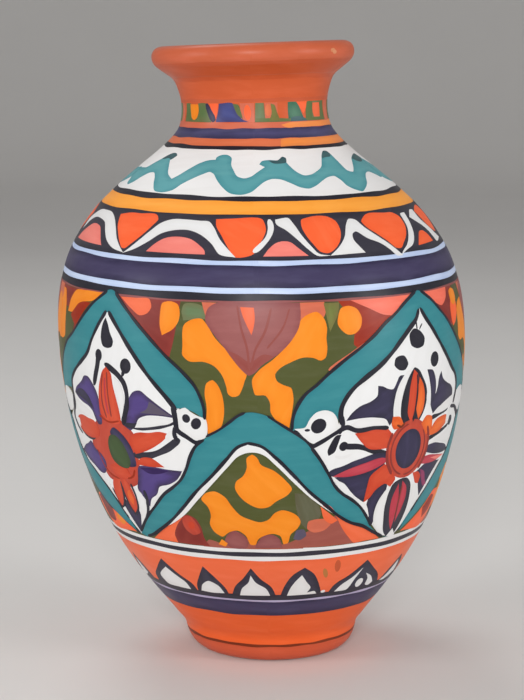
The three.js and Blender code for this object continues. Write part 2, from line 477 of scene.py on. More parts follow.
def lathe(name, runs):
    """Turns a closed outline, given as runs of (paint, points), for the CAD section of that name."""
    outline = []
    run_paints = []
    for colour, points in runs:
        for point in points:
            outline.append(tuple(point))
            run_paints.append(colour)
    outline = np.array(outline, float)
    rows = len(outline)
    turns = np.arange(ROUND_STEPS) * FULL_TURN / ROUND_STEPS
    radius = np.repeat(outline[:, :1], ROUND_STEPS, axis=1)
    height = np.repeat(outline[:, 1:], ROUND_STEPS, axis=1)
    places = settle(radius, turns[None, :], height).reshape(-1, 3)
    brush = np.stack([np.radians(turns)[None, :] * radius, height], -1).reshape(-1, 2) * MM
    colours = sorted(set(run_paints))
    faces, face_paint, sharp = [], [], []
    heading = np.roll(outline, -1, axis=0) - outline
    for row in range(rows):
        below = (row + 1) % rows
        bend = np.dot(heading[row], heading[row - 1])
        bend /= np.hypot(*heading[row]) * np.hypot(*heading[row - 1])
        for k in range(ROUND_STEPS):
            face = quad(row, below, k, ROUND_STEPS)
            faces.append(face)
            face_paint.append(colours.index(run_paints[row]))
            if bend < math.cos(EDGE_BEND):
                sharp.append(face[:2])
    depth = np.ones(len(places))
    piece = make_object(name, places, faces, brush, depth, [paint(c) for c in colours], face_paint, sharp)
    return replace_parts(piece, name)


def ring_waver(turns):
    """A seeded smooth wavering of a ring's edge, in millimetres, at each of the turns."""
    total = 0
    for n in RING_WAVES:
        phase = random.uniform(0, 2 * math.pi)
        size = random.uniform(0.5, 1) / len(RING_WAVES) ** 0.5
        total = total + size * np.sin(n * np.radians(turns) + phase)
    return RING_WAVER * total


class Skin:
    """All the shapes of one paint in one part of the pot, which become one piece."""

    def __init__(self):
        self.places, self.faces, self.brush, self.depth, self.sharp = [], [], [], [], []
        self.count = 0

    def add(self, turn, height, triangles, rim, brush, depth, lift):
        """A closed thin shape: the outside, the inside and the wall between them along the rim."""
        size = len(turn)
        top = on_pot(turn, height, lift)
        bottom = on_pot(turn, height, -SUNK)
        start, under = self.count, self.count + size
        self.places += [top, bottom]
        self.brush += [brush, brush]
        self.depth += [depth, depth]
        self.faces += [tuple(start + i for i in f) for f in triangles]
        self.faces += [tuple(under + i for i in reversed(f)) for f in triangles]
        self.faces += [(start + b, start + a, under + a, under + b) for a, b in rim]
        self.sharp += [(start + a, start + b) for a, b in rim]
        self.count += 2 * size


skins = {}


def skin_of(area, colour):
    return skins.setdefault((area, colour), Skin())


def add_ring(area, colour, low, high, lift):
    """A painted ring round the whole pot."""
    rows = max(1, int(math.ceil((high - low) / ROW_STEP)))
    turns = np.arange(ROUND_STEPS) * FULL_TURN / ROUND_STEPS
    bottom = low + ring_waver(turns)
    top = high + ring_waver(turns)
    share = (np.arange(rows + 1) / rows)[:, None]
    height = bottom + (top - bottom) * share
    turn = np.repeat(turns[None, :], rows + 1, axis=0)
    brush = np.stack([np.radians(turn) * radius_at(height), height], -1).reshape(-1, 2) * MM
    quads = [quad(row, row + 1, k, ROUND_STEPS) for row in range(rows) for k in range(ROUND_STEPS)]
    first = [(k, (k + 1) % ROUND_STEPS) for k in range(ROUND_STEPS)]
    last = [(rows * ROUND_STEPS + n, rows * ROUND_STEPS + k) for k, n in first]
    depth = np.clip(np.minimum(height - bottom, top - height) / RIM_WIDTH, 0, 1).ravel()
    skin_of(area, colour).add(turn.ravel(), height.ravel(), quads, first + last, brush, depth, lift)


def flat_scale(points):
    """Millimetres on the face for a degree of turn and a millimetre of height, about the points' middle."""
    middle = np.mean([p[1] for p in points])
    return np.array([math.radians(1) * radius_at(middle), float(stretch_at(middle))])


def inside(points, outline):
    """Which points lie inside the closed outline."""
    x, y = points[:, None, 0], points[:, None, 1]
    a, b = outline, np.roll(outline, -1, axis=0)
    crosses = (a[:, 1] > y) != (b[:, 1] > y)
    rise = np.where(np.abs(b[:, 1] - a[:, 1]) < TINY, TINY, b[:, 1] - a[:, 1])
    hits = crosses & (x < (b[:, 0] - a[:, 0]) * (y - a[:, 1]) / rise + a[:, 0])
    return np.sum(hits, axis=1) % 2 == 1


def distance_to(points, outline):
    return np.min(np.hypot(points[:, None, 0] - outline[:, 0], points[:, None, 1] - outline[:, 1]), axis=1)


painted = []  # every shape painted so far: its outline in degrees and millimetres, and its lift


def lift_over(outline):
    """How far off the clay a new shape lies: one coat over whatever it crosses."""
    low, high = outline.min(0), outline.max(0)
    lift = FIRST_COAT
    for other, other_low, other_high, other_lift in painted:
        middles_apart = (low[0] + high[0] - other_low[0] - other_high[0]) / 2
        moved = np.array([FULL_TURN * round(middles_apart / FULL_TURN), 0])
        apart = (low > other_high + moved).any() or (high < other_low + moved).any()
        if apart or other_lift + COAT <= lift:
            continue
        if inside(outline, other + moved).any() or inside(other + moved, outline).any():
            lift = other_lift + COAT
    painted.append((outline, low, high, lift))
    return lift


def add_outline(area, colour, outline, scale):
    """Fills a closed outline, given in flat millimetres, with a skin of paint on the pot."""
    low, high = outline.min(0), outline.max(0)
    step = GRID_SHARE * radius_at((low[1] + high[1]) / 2 / scale[1])
    across = np.arange(low[0] + step / 2, high[0], step)
    up = np.arange(low[1] + step / 2, high[1], step)
    points = outline
    if len(across) and len(up):
        grid = np.stack(np.meshgrid(across, up), -1).reshape(-1, 2)
        grid = grid[inside(grid, outline)]
        if len(grid):
            points = np.concatenate([outline, grid[distance_to(grid, outline) > INNER_GAP * step]])
    loop = [(i, (i + 1) % len(outline)) for i in range(len(outline))]
    found = geometry.delaunay_2d_cdt([Vector(p) for p in points], loop, [], 1, SAME_PLACE)
    flat = np.array([tuple(v) for v in found[0]])
    triangles = [tuple(f) for f in found[2]]
    if not triangles:
        return
    edges = {(f[i], f[(i + 1) % 3]) for f in triangles for i in range(3)}
    rim = [(a, b) for a, b in edges if (b, a) not in edges]
    from_middle = flat - flat.mean(0)
    axes = np.linalg.svd(from_middle, full_matrices=False)[2]
    brush = (from_middle @ axes.T + flat.mean(0)) * MM
    depth = np.clip(distance_to(flat, outline) / RIM_WIDTH, 0, 1)
    lift = lift_over(outline / scale)
    turn, height = (flat / scale).T
    skin_of(area, colour).add(turn, height, triangles, rim, brush, depth, lift)


def ribbon(path, width):
    """The outline of a brush stroke along a flat path: it swells, wavers and thins towards its ends."""
    along = np.concatenate([[0], np.cumsum(np.hypot(*np.diff(path, axis=0).T))])
    heading = np.gradient(path, axis=0)
    heading /= np.maximum(np.hypot(*heading.T), TINY)[:, None]
    side = np.stack([-heading[:, 1], heading[:, 0]], -1)
    end = np.minimum(along, along[-1] - along) / width
    swell = STROKE_TIP + (1 - STROKE_TIP) * np.clip(end / STROKE_FULL, 0, 1) ** 0.5
    phase = random.uniform(0, 2 * math.pi)
    waver = 1 + WAVER_LONG[0] * np.sin(along / WAVER_LONG[1] + phase)
    waver += WAVER_SHORT[0] * np.sin(along / WAVER_SHORT[1] + 2 * phase)
    half = (0.5 * width * swell * waver)[:, None]
    return np.concatenate([path + side * half, (path - side * half)[::-1]])


def draw(area, motif, shift=0.0, centre=0.0, stretch=1.0, skip=None):
    """Paints a motif, shape over shape, optionally moved round the pot and stretched about its centre.
    Shapes whose middles lie between the two turns of skip are left out."""
    for kind, colour, points, size in motif:
        moved = [((t - centre) * stretch + centre + shift, z) for t, z in points]
        middle = sum(t for t, z in moved) / len(moved)
        if skip and skip[0] < (middle + HALF_TURN) % FULL_TURN - HALF_TURN < skip[1]:
            continue
        scale = flat_scale(moved)
        flat = np.array(moved) * scale
        step = OUTLINE_SHARE * radius_at(np.mean([z for t, z in moved]))
        if kind == "fill":
            outline = curve_through(flat, step, closed=True)
        elif kind == "line":
            outline = ribbon(curve_through(flat, LINE_SHARE * step), size)
        else:
            outline = ellipse(flat[0], size, scale[0] * stretch)
        add_outline(area, colour, outline, scale)


def ellipse(middle, size, degree):
    """A dab's outline. Its size is half its width in degrees, half its height in mm and its tilt."""
    wide, tall, tilt = size
    angle = np.linspace(0, 2 * np.pi, DAB_POINTS, endpoint=False)
    shape = np.stack([wide * degree * np.cos(angle), tall * np.sin(angle)], -1)
    shape *= (1 + DAB_WAVER * np.sin(2 * angle + middle[0]))[:, None]
    lean = math.radians(tilt)
    turn = np.array([[math.cos(lean), math.sin(lean)], [-math.sin(lean), math.cos(lean)]])
    return middle + shape @ turn


def fill(colour, *points):
    return ("fill", colour, points, None)


def line(colour, width, *points):
    return ("line", colour, points, width)


def dab(colour, turn, height, wide, tall, tilt=0):
    return ("dab", colour, [(turn, height)], (wide, tall, tilt))


# -------------------------------------------------------------------------------- the clay sections


def wall_thickness(height):
    low = smoothstep(height, FOOT_TOP, WALL_LOW_TOP)
    high = smoothstep(height, SHOULDER_JOINT, NECK_JOINT)
    return WALL_LOW + (WALL_BODY - WALL_LOW) * low + (WALL_NECK - WALL_BODY) * high


def in_wall(height, depth):
    """A point in the wall, from the outer face, depth 0, to the inner one, depth 1."""
    return off_face(height, -depth * wall_thickness(height))


def run(start, stop, depth=0, step=ROW_STEP):
    """Points in the wall at one depth, from one height to another."""
    count = max(2, int(abs(stop - start) / step) + 1)
    return [in_wall(h, depth) for h in np.linspace(start, stop, count)]


def step_of(height):
    """The upright step inside a joint, downwards."""
    return [in_wall(height + JOINT_STEP, JOINT_DEPTH), in_wall(height, JOINT_DEPTH)]


def joint(height):
    """The stepped joint's line, from the middle of the wall to its inner face."""
    return [*reversed(step_of(height)), in_wall(height + JOINT_STEP, 1)]


def make_foot():
    outside = [(FOOT_LAND, 0), *run(OUTER_FACE[1][1], FOOT_TOP, step=1)]
    within = [(FLOOR_RADIUS, FOOT_TOP), (FLOOR_RADIUS, FLOOR_UNDERSIDE)]
    within.append((FOOT_BORE + BORE_DRAFT, FLOOR_UNDERSIDE))
    ring = [("clay", [(FOOT_BORE, 0)]), ("orange", outside), ("clay", within)]
    lathe("foot_ring", ring)
    disc = [(radius, FLOOR_UNDERSIDE) for radius, _ in reversed(FLOOR_SAG)]
    disc += [(FLOOR_RADIUS, FLOOR_UNDERSIDE), (FLOOR_RADIUS, FLOOR_TOP)]
    disc += [(radius, FLOOR_TOP - sag) for radius, sag in FLOOR_SAG]
    lathe("floor_disc", [("clay", disc)])


def make_walls():
    outside = run(FOOT_TOP, SHOULDER_JOINT)
    within = joint(SHOULDER_JOINT) + run(SHOULDER_JOINT + JOINT_STEP, BOWL_START, 1, BODY_STEP)[1:]
    within += [(FLOOR_RADIUS + FILLET_OUT, FLOOR_TOP + FILLET_UP), (FLOOR_RADIUS, FLOOR_TOP)]
    body = [("clay", [(FLOOR_RADIUS, FOOT_TOP)]), ("orange", outside), ("clay", within)]
    lathe("lower_body", body)
    within = joint(NECK_JOINT)
    within += run(NECK_JOINT + JOINT_STEP, SHOULDER_JOINT + JOINT_STEP, 1, SHOULDER_STEP)[1:]
    within += step_of(SHOULDER_JOINT)
    lathe("shoulder", [("white", run(SHOULDER_JOINT, NECK_JOINT)), ("clay", within)])


def make_neck():
    collar = run(NECK_JOINT, RIM_JOINT, step=1)
    collar += run(RIM_JOINT, NECK_JOINT + JOINT_STEP, 1, COLLAR_STEP)
    lathe("neck_collar", [("neck_orange", collar), ("clay", step_of(NECK_JOINT))])
    roll = curve_through([*OUTER_FACE[-ROLL_POINTS:], *RIM_TOP, in_wall(RIM_JOINT, 1)], ROLL_STEP)
    lathe("rolled_rim", [("rim_orange", roll)])


# ------------------------------------------------------------------------------------ painted rings

RINGS = [  # area, paint, bottom, top
    ("foot", "low_orange", 1, 9.2),
    ("foot", "brown_line", 9, 10.4),
    ("foot", "navy", 29.5, 37.9),
    ("foot", "lilac", 37.8, 38.8),
    ("foot", "charcoal", 38.7, 42.1),
    ("leaves", "leaf_orange", 42, 62.2),
    ("leaves", "white", 62, 64.5),
    ("leaves", "charcoal", 64.4, 66.8),
    ("leaves", "white", 66.7, 69),
    ("belt", "olive", 68.8, 188.6),
    ("belt", "maroon", 188.4, 189.7),
    ("collar", "black", 189.5, 192.7),
    ("collar", "pale_blue", 192.6, 195.5),
    ("collar", "navy", 195.3, 205.2),
    ("collar", "pale_blue", 205.1, 207.3),
    ("arcs", "charcoal", 207.2, 227),
    ("arcs", "gold", 227, 232.8),
    ("arcs", "black", 232.6, 234.7),
    ("wave", "wave_white", 234.6, 254.8),
    ("wave", "black", 254.6, 256.3),
    ("neck", "neck_tan", 256.2, 259.6),
    ("neck", "neck_navy", 259.5, 264.2),
    ("neck", "neck_coral", 264.1, 266.5),
]


def paint_rings():
    for number, (area, colour, low, high) in enumerate(RINGS):
        under = number % 2 == 0
        spare = RING_SPARE if under else 0
        add_ring(area, colour, low - spare, high + spare, RING_COAT if under else RING_COAT + RING_LAP)


# -------------------------------------------------------------------------------- the row of leaves

# Pointed leaves, painted three times round the pot.
LEAVES = [
    fill(
        "leaf_line",
        (-56, 41.3), (-55, 45), (-49.5, 51), (-43.6, 57.4), (-38, 50), (-33, 45), (-32, 41.3),
    ),
    fill(
        "leaf_line",
        (-31.9, 41.3), (-31, 45), (-28.2, 50.4), (-24.8, 57), (-20.8, 50.4), (-18, 45), (-17.2, 41.3),
    ),
    fill(
        "leaf_line",
        (-16, 41.3), (-13.5, 47), (-10, 51.5), (-6.4, 57.8), (-3, 51.5), (0.8, 47), (2.8, 41.3),
    ),
    fill("leaf_line", (4.5, 41.3), (6, 47), (9.3, 54), (13.3, 57.7), (17, 54), (20, 48), (22.5, 41.3)),
    fill(
        "leaf_line",
        (25.5, 41.3), (27.5, 46), (33, 50.5), (39.4, 57.7), (45, 52), (50.5, 47), (54.5, 41.3),
    ),
    fill("leaf_line", (55, 41.3), (58, 46.5), (64, 54.2), (69, 48), (72, 41.3)),
    fill(
        "white",
        (-43.6, 52.8), (-50.6, 45.8), (-49.4, 42.2), (-42, 41.6), (-35.6, 41.6), (-36.3, 45.2), (-40, 49),
    ),
    fill("white", (-24.4, 48.6), (-28, 46), (-30, 42), (-24.5, 41.6), (-19.2, 42), (-21, 46.4)),
    fill(
        "white",
        (-6.8, 53.6), (-5.2, 49.6), (-1.1, 45.6), (0.3, 41.7), (-12.5, 41.5), (-11, 45.7), (-8, 49.4),
    ),
    fill(
        "white",
        (12.6, 53.4), (14.7, 49.4), (16.9, 45.6), (15.8, 42.8), (19.1, 43.3), (20.2, 41.7), (7.4, 41.5),
        (8.6, 46.1), (10.4, 50),
    ),
    fill("white", (38.8, 53.4), (36.9, 47.8), (34.9, 41.7), (28.6, 41.5), (30.8, 45), (35, 48.6)),
    fill("white", (41.9, 49.7), (45.8, 47.2), (49.7, 42.8), (48, 41.2), (45.2, 42.2), (44.7, 45.6)),
    dab("white", 40.5, 44.4, 2, 3),
    fill("white", (63.6, 51.2), (59.1, 43.9), (55.8, 41.7), (60.2, 41.2), (67.4, 43.9), (66, 47.4)),
    dab("white", 23, 42.6, 1, 1),
    dab("olive_tan", 21.8, 53.6, 0.9, 3.4, 16),
    dab("neck_shade", 26.2, 57, 1.2, 4, 8),
]


def paint_leaves():
    draw("leaves", LEAVES)
    for shift in (123, 237):
        draw("leaves", LEAVES, shift, centre=8, stretch=0.865)


# --------------------------------------------------------------------------- the belt: field motifs

# The colours above a tent, between two frames.
HEART_FIELD = [
    fill(
        "brick",
        (-38.6, 183), (-42, 188.6), (-33, 188.7), (-21.6, 188.6), (-22.6, 178), (-23.2, 172.5), (-24, 167),
        (-24.8, 162.6), (-27, 164.5), (-31.4, 172), (-36, 179),
    ),
    fill(
        "leaf_orange",
        (-41, 188.4), (-36, 188.6), (-31, 188.4), (-30.3, 185), (-31.4, 182.2), (-34, 180.8),
        (-36.6, 183.2),
    ),
    fill(
        "rust",
        (21.4, 188.6), (40, 188.6), (39, 180.8), (35.4, 177), (31.3, 171.6), (26.6, 166.4), (25, 168.4),
        (25.2, 172), (25.5, 177),
    ),
    fill(
        "sage",
        (-20.6, 187.4), (-18, 188), (-15.6, 187), (-14.4, 184), (-14.6, 181), (-18.5, 180.4), (-20.6, 180),
        (-21.2, 184),
    ),
    fill("neck_coral", (-15.6, 188.6), (-11, 188.6), (-12.6, 186.4), (-14.2, 181), (-14.8, 184)),
    fill("neck_coral", (10.4, 188.6), (17.4, 188.6), (17.6, 184), (16.6, 181), (13, 182.6), (10.6, 180)),
    fill("olive_green", (17.2, 188), (21.6, 188), (21, 183), (19.4, 178), (18.4, 175), (17.8, 181)),
    fill(
        "amber",
        (-20.2, 178.5), (-18.5, 180.4), (-15.4, 181), (-14.1, 178.5), (-12, 172.7), (-9.5, 168), (-7, 164),
        (-4.6, 158.4), (-3.9, 156), (-4.5, 153), (-5.3, 149), (-6.3, 146), (-8, 145.3), (-9, 146.5),
        (-9.4, 150), (-10.5, 155.6), (-12.5, 159.6), (-14.8, 161.2), (-19.5, 161.5), (-21, 164),
        (-20.9, 168),
    ),
    fill(
        "amber",
        (10, 179.5), (12, 182.7), (15.3, 184.2), (17, 181), (17.6, 177), (17.3, 172), (17.4, 167),
        (16.8, 163), (15.6, 161.9), (13.5, 163.3), (11, 163.6), (7.5, 161.5), (4.5, 158.5), (3.4, 156),
        (3.8, 153), (5.5, 151), (7.5, 149.6), (8, 146), (7.6, 138), (6.8, 130.5), (5, 132), (3, 135),
        (2, 138), (1.8, 143), (0.8, 146), (-2, 146.5), (-2.4, 149), (-2.6, 153.6), (-1, 157.5), (3, 163),
        (6, 168), (8.3, 173.5),
    ),
    fill(
        "amber",
        (-13, 153), (-12, 151.5), (-10.8, 147), (-10.3, 141), (-10.6, 135), (-11.5, 130.5), (-13, 128),
        (-15.2, 126), (-15.5, 132), (-15, 140), (-15.3, 147), (-14.6, 151.5),
    ),
    fill(
        "amber",
        (-27, 187.3), (-24.5, 188.3), (-22.3, 187), (-21.7, 183.5), (-22, 179.5), (-23.4, 176),
        (-26.8, 172.5), (-27.4, 176), (-27.5, 182),
    ),
    fill(
        "amber",
        (22, 185.4), (24.2, 186.3), (26.6, 184.7), (27.8, 180.5), (27.2, 176), (25.4, 173.4), (23.4, 173.2),
        (21.6, 175.5), (20.7, 178), (21, 182),
    ),
    fill(
        "maroon",
        (-5, 188.7), (-11.6, 188.5), (-13.8, 186), (-14.6, 181), (-12, 173.5), (-9.7, 168.5), (-7.5, 163),
        (-5.2, 158), (-3.4, 155.4), (-2, 156.5), (0, 160.2), (3, 163.6), (5.8, 167.5), (8.3, 172.4),
        (10, 177.4), (10.7, 183), (10.7, 188.6), (4, 188.7),
    ),
    fill("coral", (25, 188.7), (46.6, 188.7), (42.5, 184.6), (38.6, 180.4), (35.4, 180.8), (30, 184.8)),
    fill(
        "maroon_shade",
        (-9, 167.4), (-6.6, 161), (-3.4, 155.6), (0.2, 160.4), (3.4, 164.4), (0.6, 165.4), (-3, 161.6),
        (-6, 165),
    ),
    fill(
        "leaf_orange",
        (-5.2, 186.8), (-1.6, 186.6), (-1.4, 182), (-1.8, 177.5), (-2.4, 174.2), (-3.4, 178), (-4.8, 184),
    ),
    line("maroon_shade", 1.0, (-6, 187.5), (-5, 177), (-3.7, 168.5), (-3.2, 158)),
    line("maroon_shade", 1.1, (3, 186.5), (1.2, 176), (-1.6, 167), (-2.8, 159)),
    line("maroon_shade", 0.9, (7.8, 186), (6, 178), (1.5, 168)),
]

# The colours below a tent, down to the white ring.
UNDER_TENT = [
    fill(
        "umber",
        (-22, 68.6), (-19.5, 72.6), (-15, 71), (-8, 71.8), (0, 71), (6, 71.6), (10, 74), (12, 68.6),
    ),
    fill("leaf_orange", (-42, 69), (-36, 75.5), (-30.4, 82.2), (-27.5, 85.6), (-27, 69)),
    fill(
        "brick",
        (-32, 73), (-30.5, 77.5), (-28, 82), (-25.6, 85), (-22.8, 83.4), (-21.4, 79), (-21, 73),
        (-19.6, 69), (-31.6, 69),
    ),
    fill(
        "umber",
        (9.4, 69), (10, 75), (12.4, 77.4), (17, 79), (22, 85.4), (27.4, 80.4), (30, 77), (31, 69),
    ),
    fill(
        "grey_olive",
        (8.4, 98), (12.4, 97), (15.6, 91.6), (16.8, 86), (15, 82), (12.4, 79), (10.8, 82), (9, 90),
    ),
    fill("neck_coral", (13, 83), (15.6, 84), (19, 83.4), (20.4, 80.6), (18.6, 78), (15, 77), (12.8, 79)),
    fill("leaf_orange", (16.4, 90.6), (18.4, 88), (22.6, 82.6), (20.6, 81), (18.4, 83)),
    fill(
        "leaf_orange",
        (21.6, 85.6), (31.4, 78), (37, 73.4), (41, 69.2), (35, 69.4), (30, 69.4), (27.4, 73), (24.6, 78),
    ),
    fill(
        "amber",
        (-4.9, 116), (-3.4, 117.6), (-2.1, 116), (-1.3, 113), (2.5, 109.5), (5.5, 105), (7.6, 100),
        (6.5, 97.5), (3, 94), (0.5, 91), (-2, 90.5), (-5, 92.4), (-7.5, 96), (-8.9, 101), (-8.5, 103.6),
        (-6.2, 107), (-5.1, 111),
    ),
    fill(
        "amber",
        (-19.6, 94), (-18.3, 96.8), (-15, 98.4), (-12.3, 96), (-10.3, 91), (-8, 86.6), (-5, 84.4),
        (-2, 83.2), (0.5, 84.5), (2.5, 88), (4.5, 89.4), (7.5, 88.2), (9.8, 85.5), (10.5, 82.8),
        (9.5, 79.5), (7.5, 76.5), (6.5, 71.8), (5.2, 71.3), (4, 76), (2, 77), (-1, 76), (-3, 74), (-4, 71),
        (-5.5, 71), (-7, 76), (-9.5, 78.5), (-12, 77.5), (-14.6, 74.8), (-17, 77), (-18.1, 81), (-17.3, 86),
        (-17.8, 90),
    ),
    fill(
        "body_red",
        (-26.8, 84.2), (-24.6, 84.4), (-22.6, 80.6), (-22, 76), (-24.6, 74.4), (-26.8, 76.6), (-27.6, 80.6),
    ),
    fill(
        "maroon",
        (-14, 72), (-12.6, 76.4), (-10.5, 78.3), (-8, 76.7), (-6.2, 73), (-6.8, 69.4), (-12.6, 69.4),
    ),
    fill("maroon", (-4.2, 69.4), (-3, 73), (-1, 76), (1.4, 76.7), (3.8, 74.4), (5, 69.4)),
    fill("amber", (-16.4, 70.6), (-15, 73.4), (-13.2, 71.4), (-14, 69.6)),
    fill("dusk", (8.4, 74), (9.4, 78.6), (11.6, 79), (12.6, 75.6), (10.4, 73.2)),
    dab("petal_red", -24.6, 79.6, 1.1, 2.2, -12),
]

# -------------------------------------------------------------------------- the belt: tents, frames

# A teal tent between two frames, its white lining and its black edges.
TENT = [
    fill(
        "teal",
        (-15.5, 125.6), (-12, 129), (-10, 131.6), (-7.5, 135.2), (-5.5, 137.5), (-3.5, 138.2),
        (-0.5, 137.4), (2, 135.6), (5, 131.6), (7.5, 128.6), (10.5, 125), (13, 120), (15.5, 114), (18, 107),
        (20.5, 100), (23, 96), (26, 93), (29.5, 88.5), (32.5, 83), (35.4, 77), (38.9, 73), (42.5, 70),
        (45.3, 69), (40.1, 71.2), (36.6, 74), (31.9, 78), (27.2, 80.7), (22.5, 85), (18, 91), (13, 98),
        (8, 107), (3, 116), (-1, 121.7), (-3, 123.3), (-5, 123.2), (-7, 121.4), (-10.5, 115), (-15, 106.7),
        (-20.8, 97.5), (-26.1, 88.5), (-31.4, 81), (-36.6, 75.5), (-41.9, 71), (-45, 69.2), (-47.7, 70.5),
        (-45, 74.5), (-41.9, 79.5), (-39.3, 83), (-36.6, 87), (-34, 91), (-31.4, 95), (-28.2, 98.5),
        (-25, 103), (-23, 108), (-20.8, 116), (-19.3, 120), (-17.6, 122.6),
    ),
    fill(
        "white",
        (-3, 123.4), (-5.2, 122.8), (-7.2, 121), (-10.5, 115), (-15, 106.7), (-20.8, 97.5), (-26.1, 88.5),
        (-31.4, 81), (-35, 76.8), (-31, 79.8), (-25.8, 85.4), (-20.6, 93.6), (-15, 103), (-10.3, 111.4),
        (-7, 117), (-4.6, 118.6), (-2, 118.6), (-0.4, 117.6), (3, 112.4), (8, 103.6), (13, 95.6),
        (18, 89.4), (20.8, 86.4), (18.6, 90.6), (13, 98), (8, 107), (3, 116), (-1, 121.7),
    ),
    fill("coral", (17, 91), (20.8, 86.8), (25, 82), (29.6, 79), (27.6, 80.7), (22.7, 85.2), (18.2, 91.4)),
    line(
        "black", 1.5,
        (-47.4, 71.4), (-41.9, 79.9), (-36.6, 87.3), (-31.4, 95.2), (-28.2, 98.8), (-25, 103.3),
        (-23, 108.3), (-20.8, 116.2), (-19.3, 120.3), (-16.4, 124.4),
    ),
    line("black", 1.2, (-15.8, 125.8), (-12, 129.4), (-9.5, 132.6), (-6.5, 136.6), (-4.8, 138)),
    line("black", 1.2, (1, 136.6), (5, 131.8), (8.6, 127.6), (11.5, 123.8), (13.2, 120)),
    line(
        "black", 1.5,
        (12.8, 120.8), (15.5, 114.4), (18, 107.4), (20.5, 100.4), (23, 96.4), (26, 93.2), (29.5, 88.8),
        (32.5, 83.4), (35.4, 77.4),
    ),
    line(
        "black", 1.6,
        (-44.6, 69.8), (-41.9, 71.2), (-36.6, 75.7), (-31.4, 81.2), (-26.1, 88.7), (-20.8, 97.7),
        (-15, 106.9), (-10.5, 115.2), (-7, 121.5), (-4, 123.6),
    ),
    line(
        "black", 1.6,
        (-4.8, 123.5), (-1, 121.9), (3, 116.2), (8, 107.2), (13, 98.2), (18, 91.2), (22.5, 85.2),
        (27.2, 80.8), (31.9, 78.2), (36.6, 74.2), (42, 70.2),
    ),
]

# The left frame: teal bands round the flower, black edges, and the white buttons at its side corners.
FRAME_LEFT = [
    fill(
        "teal",
        (-44.5, 191), (-47.2, 190), (-52.4, 183), (-57.7, 175), (-63, 167), (-68.2, 161.5), (-73.5, 152.5),
        (-77, 144), (-79.4, 136), (-75.6, 137), (-71, 138.6), (-67.2, 139.6), (-66.4, 143.5), (-64, 148),
        (-60.8, 152), (-57.7, 155.5), (-54.8, 159.5), (-52.4, 166), (-49.8, 172.5), (-47.2, 177.5),
        (-45.5, 180.5), (-44, 179), (-41.9, 175), (-36.6, 164), (-31.4, 153), (-26.1, 143), (-24, 138.5),
        (-21.4, 138.8), (-18.4, 137), (-15.8, 134), (-16, 140), (-16.9, 145), (-18.2, 150), (-20.8, 155),
        (-26.1, 163), (-31.4, 171.5), (-36.6, 179.5), (-41.9, 188.5),
    ),
    fill(
        "teal",
        (-49.8, 71), (-52.4, 79), (-56.6, 89), (-60.3, 94.4), (-64, 98.6), (-68.2, 102.6), (-71.6, 108),
        (-73.4, 115), (-75.8, 123.6), (-79.8, 127), (-79.6, 116), (-77, 103), (-72.6, 93.4), (-66.6, 85.4),
        (-60.3, 79.4), (-54.5, 74.6),
    ),
    fill(
        "white",
        (-23.6, 134), (-23, 137.6), (-21, 139.2), (-19.6, 137.4), (-17.4, 135.4), (-15.6, 134.4),
        (-15.2, 130), (-15.8, 125.6), (-17.4, 123.8), (-20.2, 124.8), (-22.6, 127.4),
    ),
    fill(
        "white",
        (-79.6, 131), (-76.4, 137.2), (-72.4, 138), (-69.4, 136.4), (-68, 132), (-70, 128), (-73, 126),
        (-77, 125.4),
    ),
    line(
        "black", 1.5,
        (-46.4, 190.2), (-52.4, 183.3), (-57.7, 175.4), (-63, 167.4), (-68.2, 161.9), (-73.5, 152.8),
        (-77.4, 143.6),
    ),
    line(
        "black", 1.5,
        (-43.2, 190), (-36.6, 180), (-31.4, 171.9), (-26.1, 163.4), (-20.8, 155.4), (-18.2, 150.3),
        (-16.7, 145), (-15.8, 139), (-15.8, 134),
    ),
    line(
        "black", 1.9,
        (-46, 181), (-49.6, 173), (-52.4, 166), (-54.8, 159.2), (-57.7, 155.2), (-60.8, 151.6),
        (-64, 147.6), (-66.6, 143), (-67.2, 138), (-67, 132), (-68.6, 127.6),
    ),
    line(
        "black", 2.3,
        (-45.2, 181), (-42, 175), (-36.6, 163.8), (-31.4, 152.8), (-26.1, 142.8), (-23.6, 137.6),
    ),
    line(
        "black", 1.2,
        (-51.6, 77), (-55.6, 86.6), (-60.3, 94.2), (-64, 98.4), (-68.2, 102.4), (-71.2, 107), (-73.2, 115),
        (-75.6, 123.4), (-79, 127),
    ),
    line("charcoal", 1.8, (-67.4, 136), (-69, 128), (-70.6, 123.6), (-69, 119.4), (-66, 116.4)),
    line(
        "black", 2.4,
        (-24.6, 140), (-24.2, 133), (-24, 128), (-21.4, 125), (-18.6, 122.4), (-16.6, 123.6),
    ),
    line("black", 2.4, (-24.4, 130), (-25, 125.4), (-24.4, 122.6)),
    dab("black", -21, 134, 1.1, 2.2, 12),
    dab("black", -18.3, 131.8, 1.4, 2.9, -20),
]

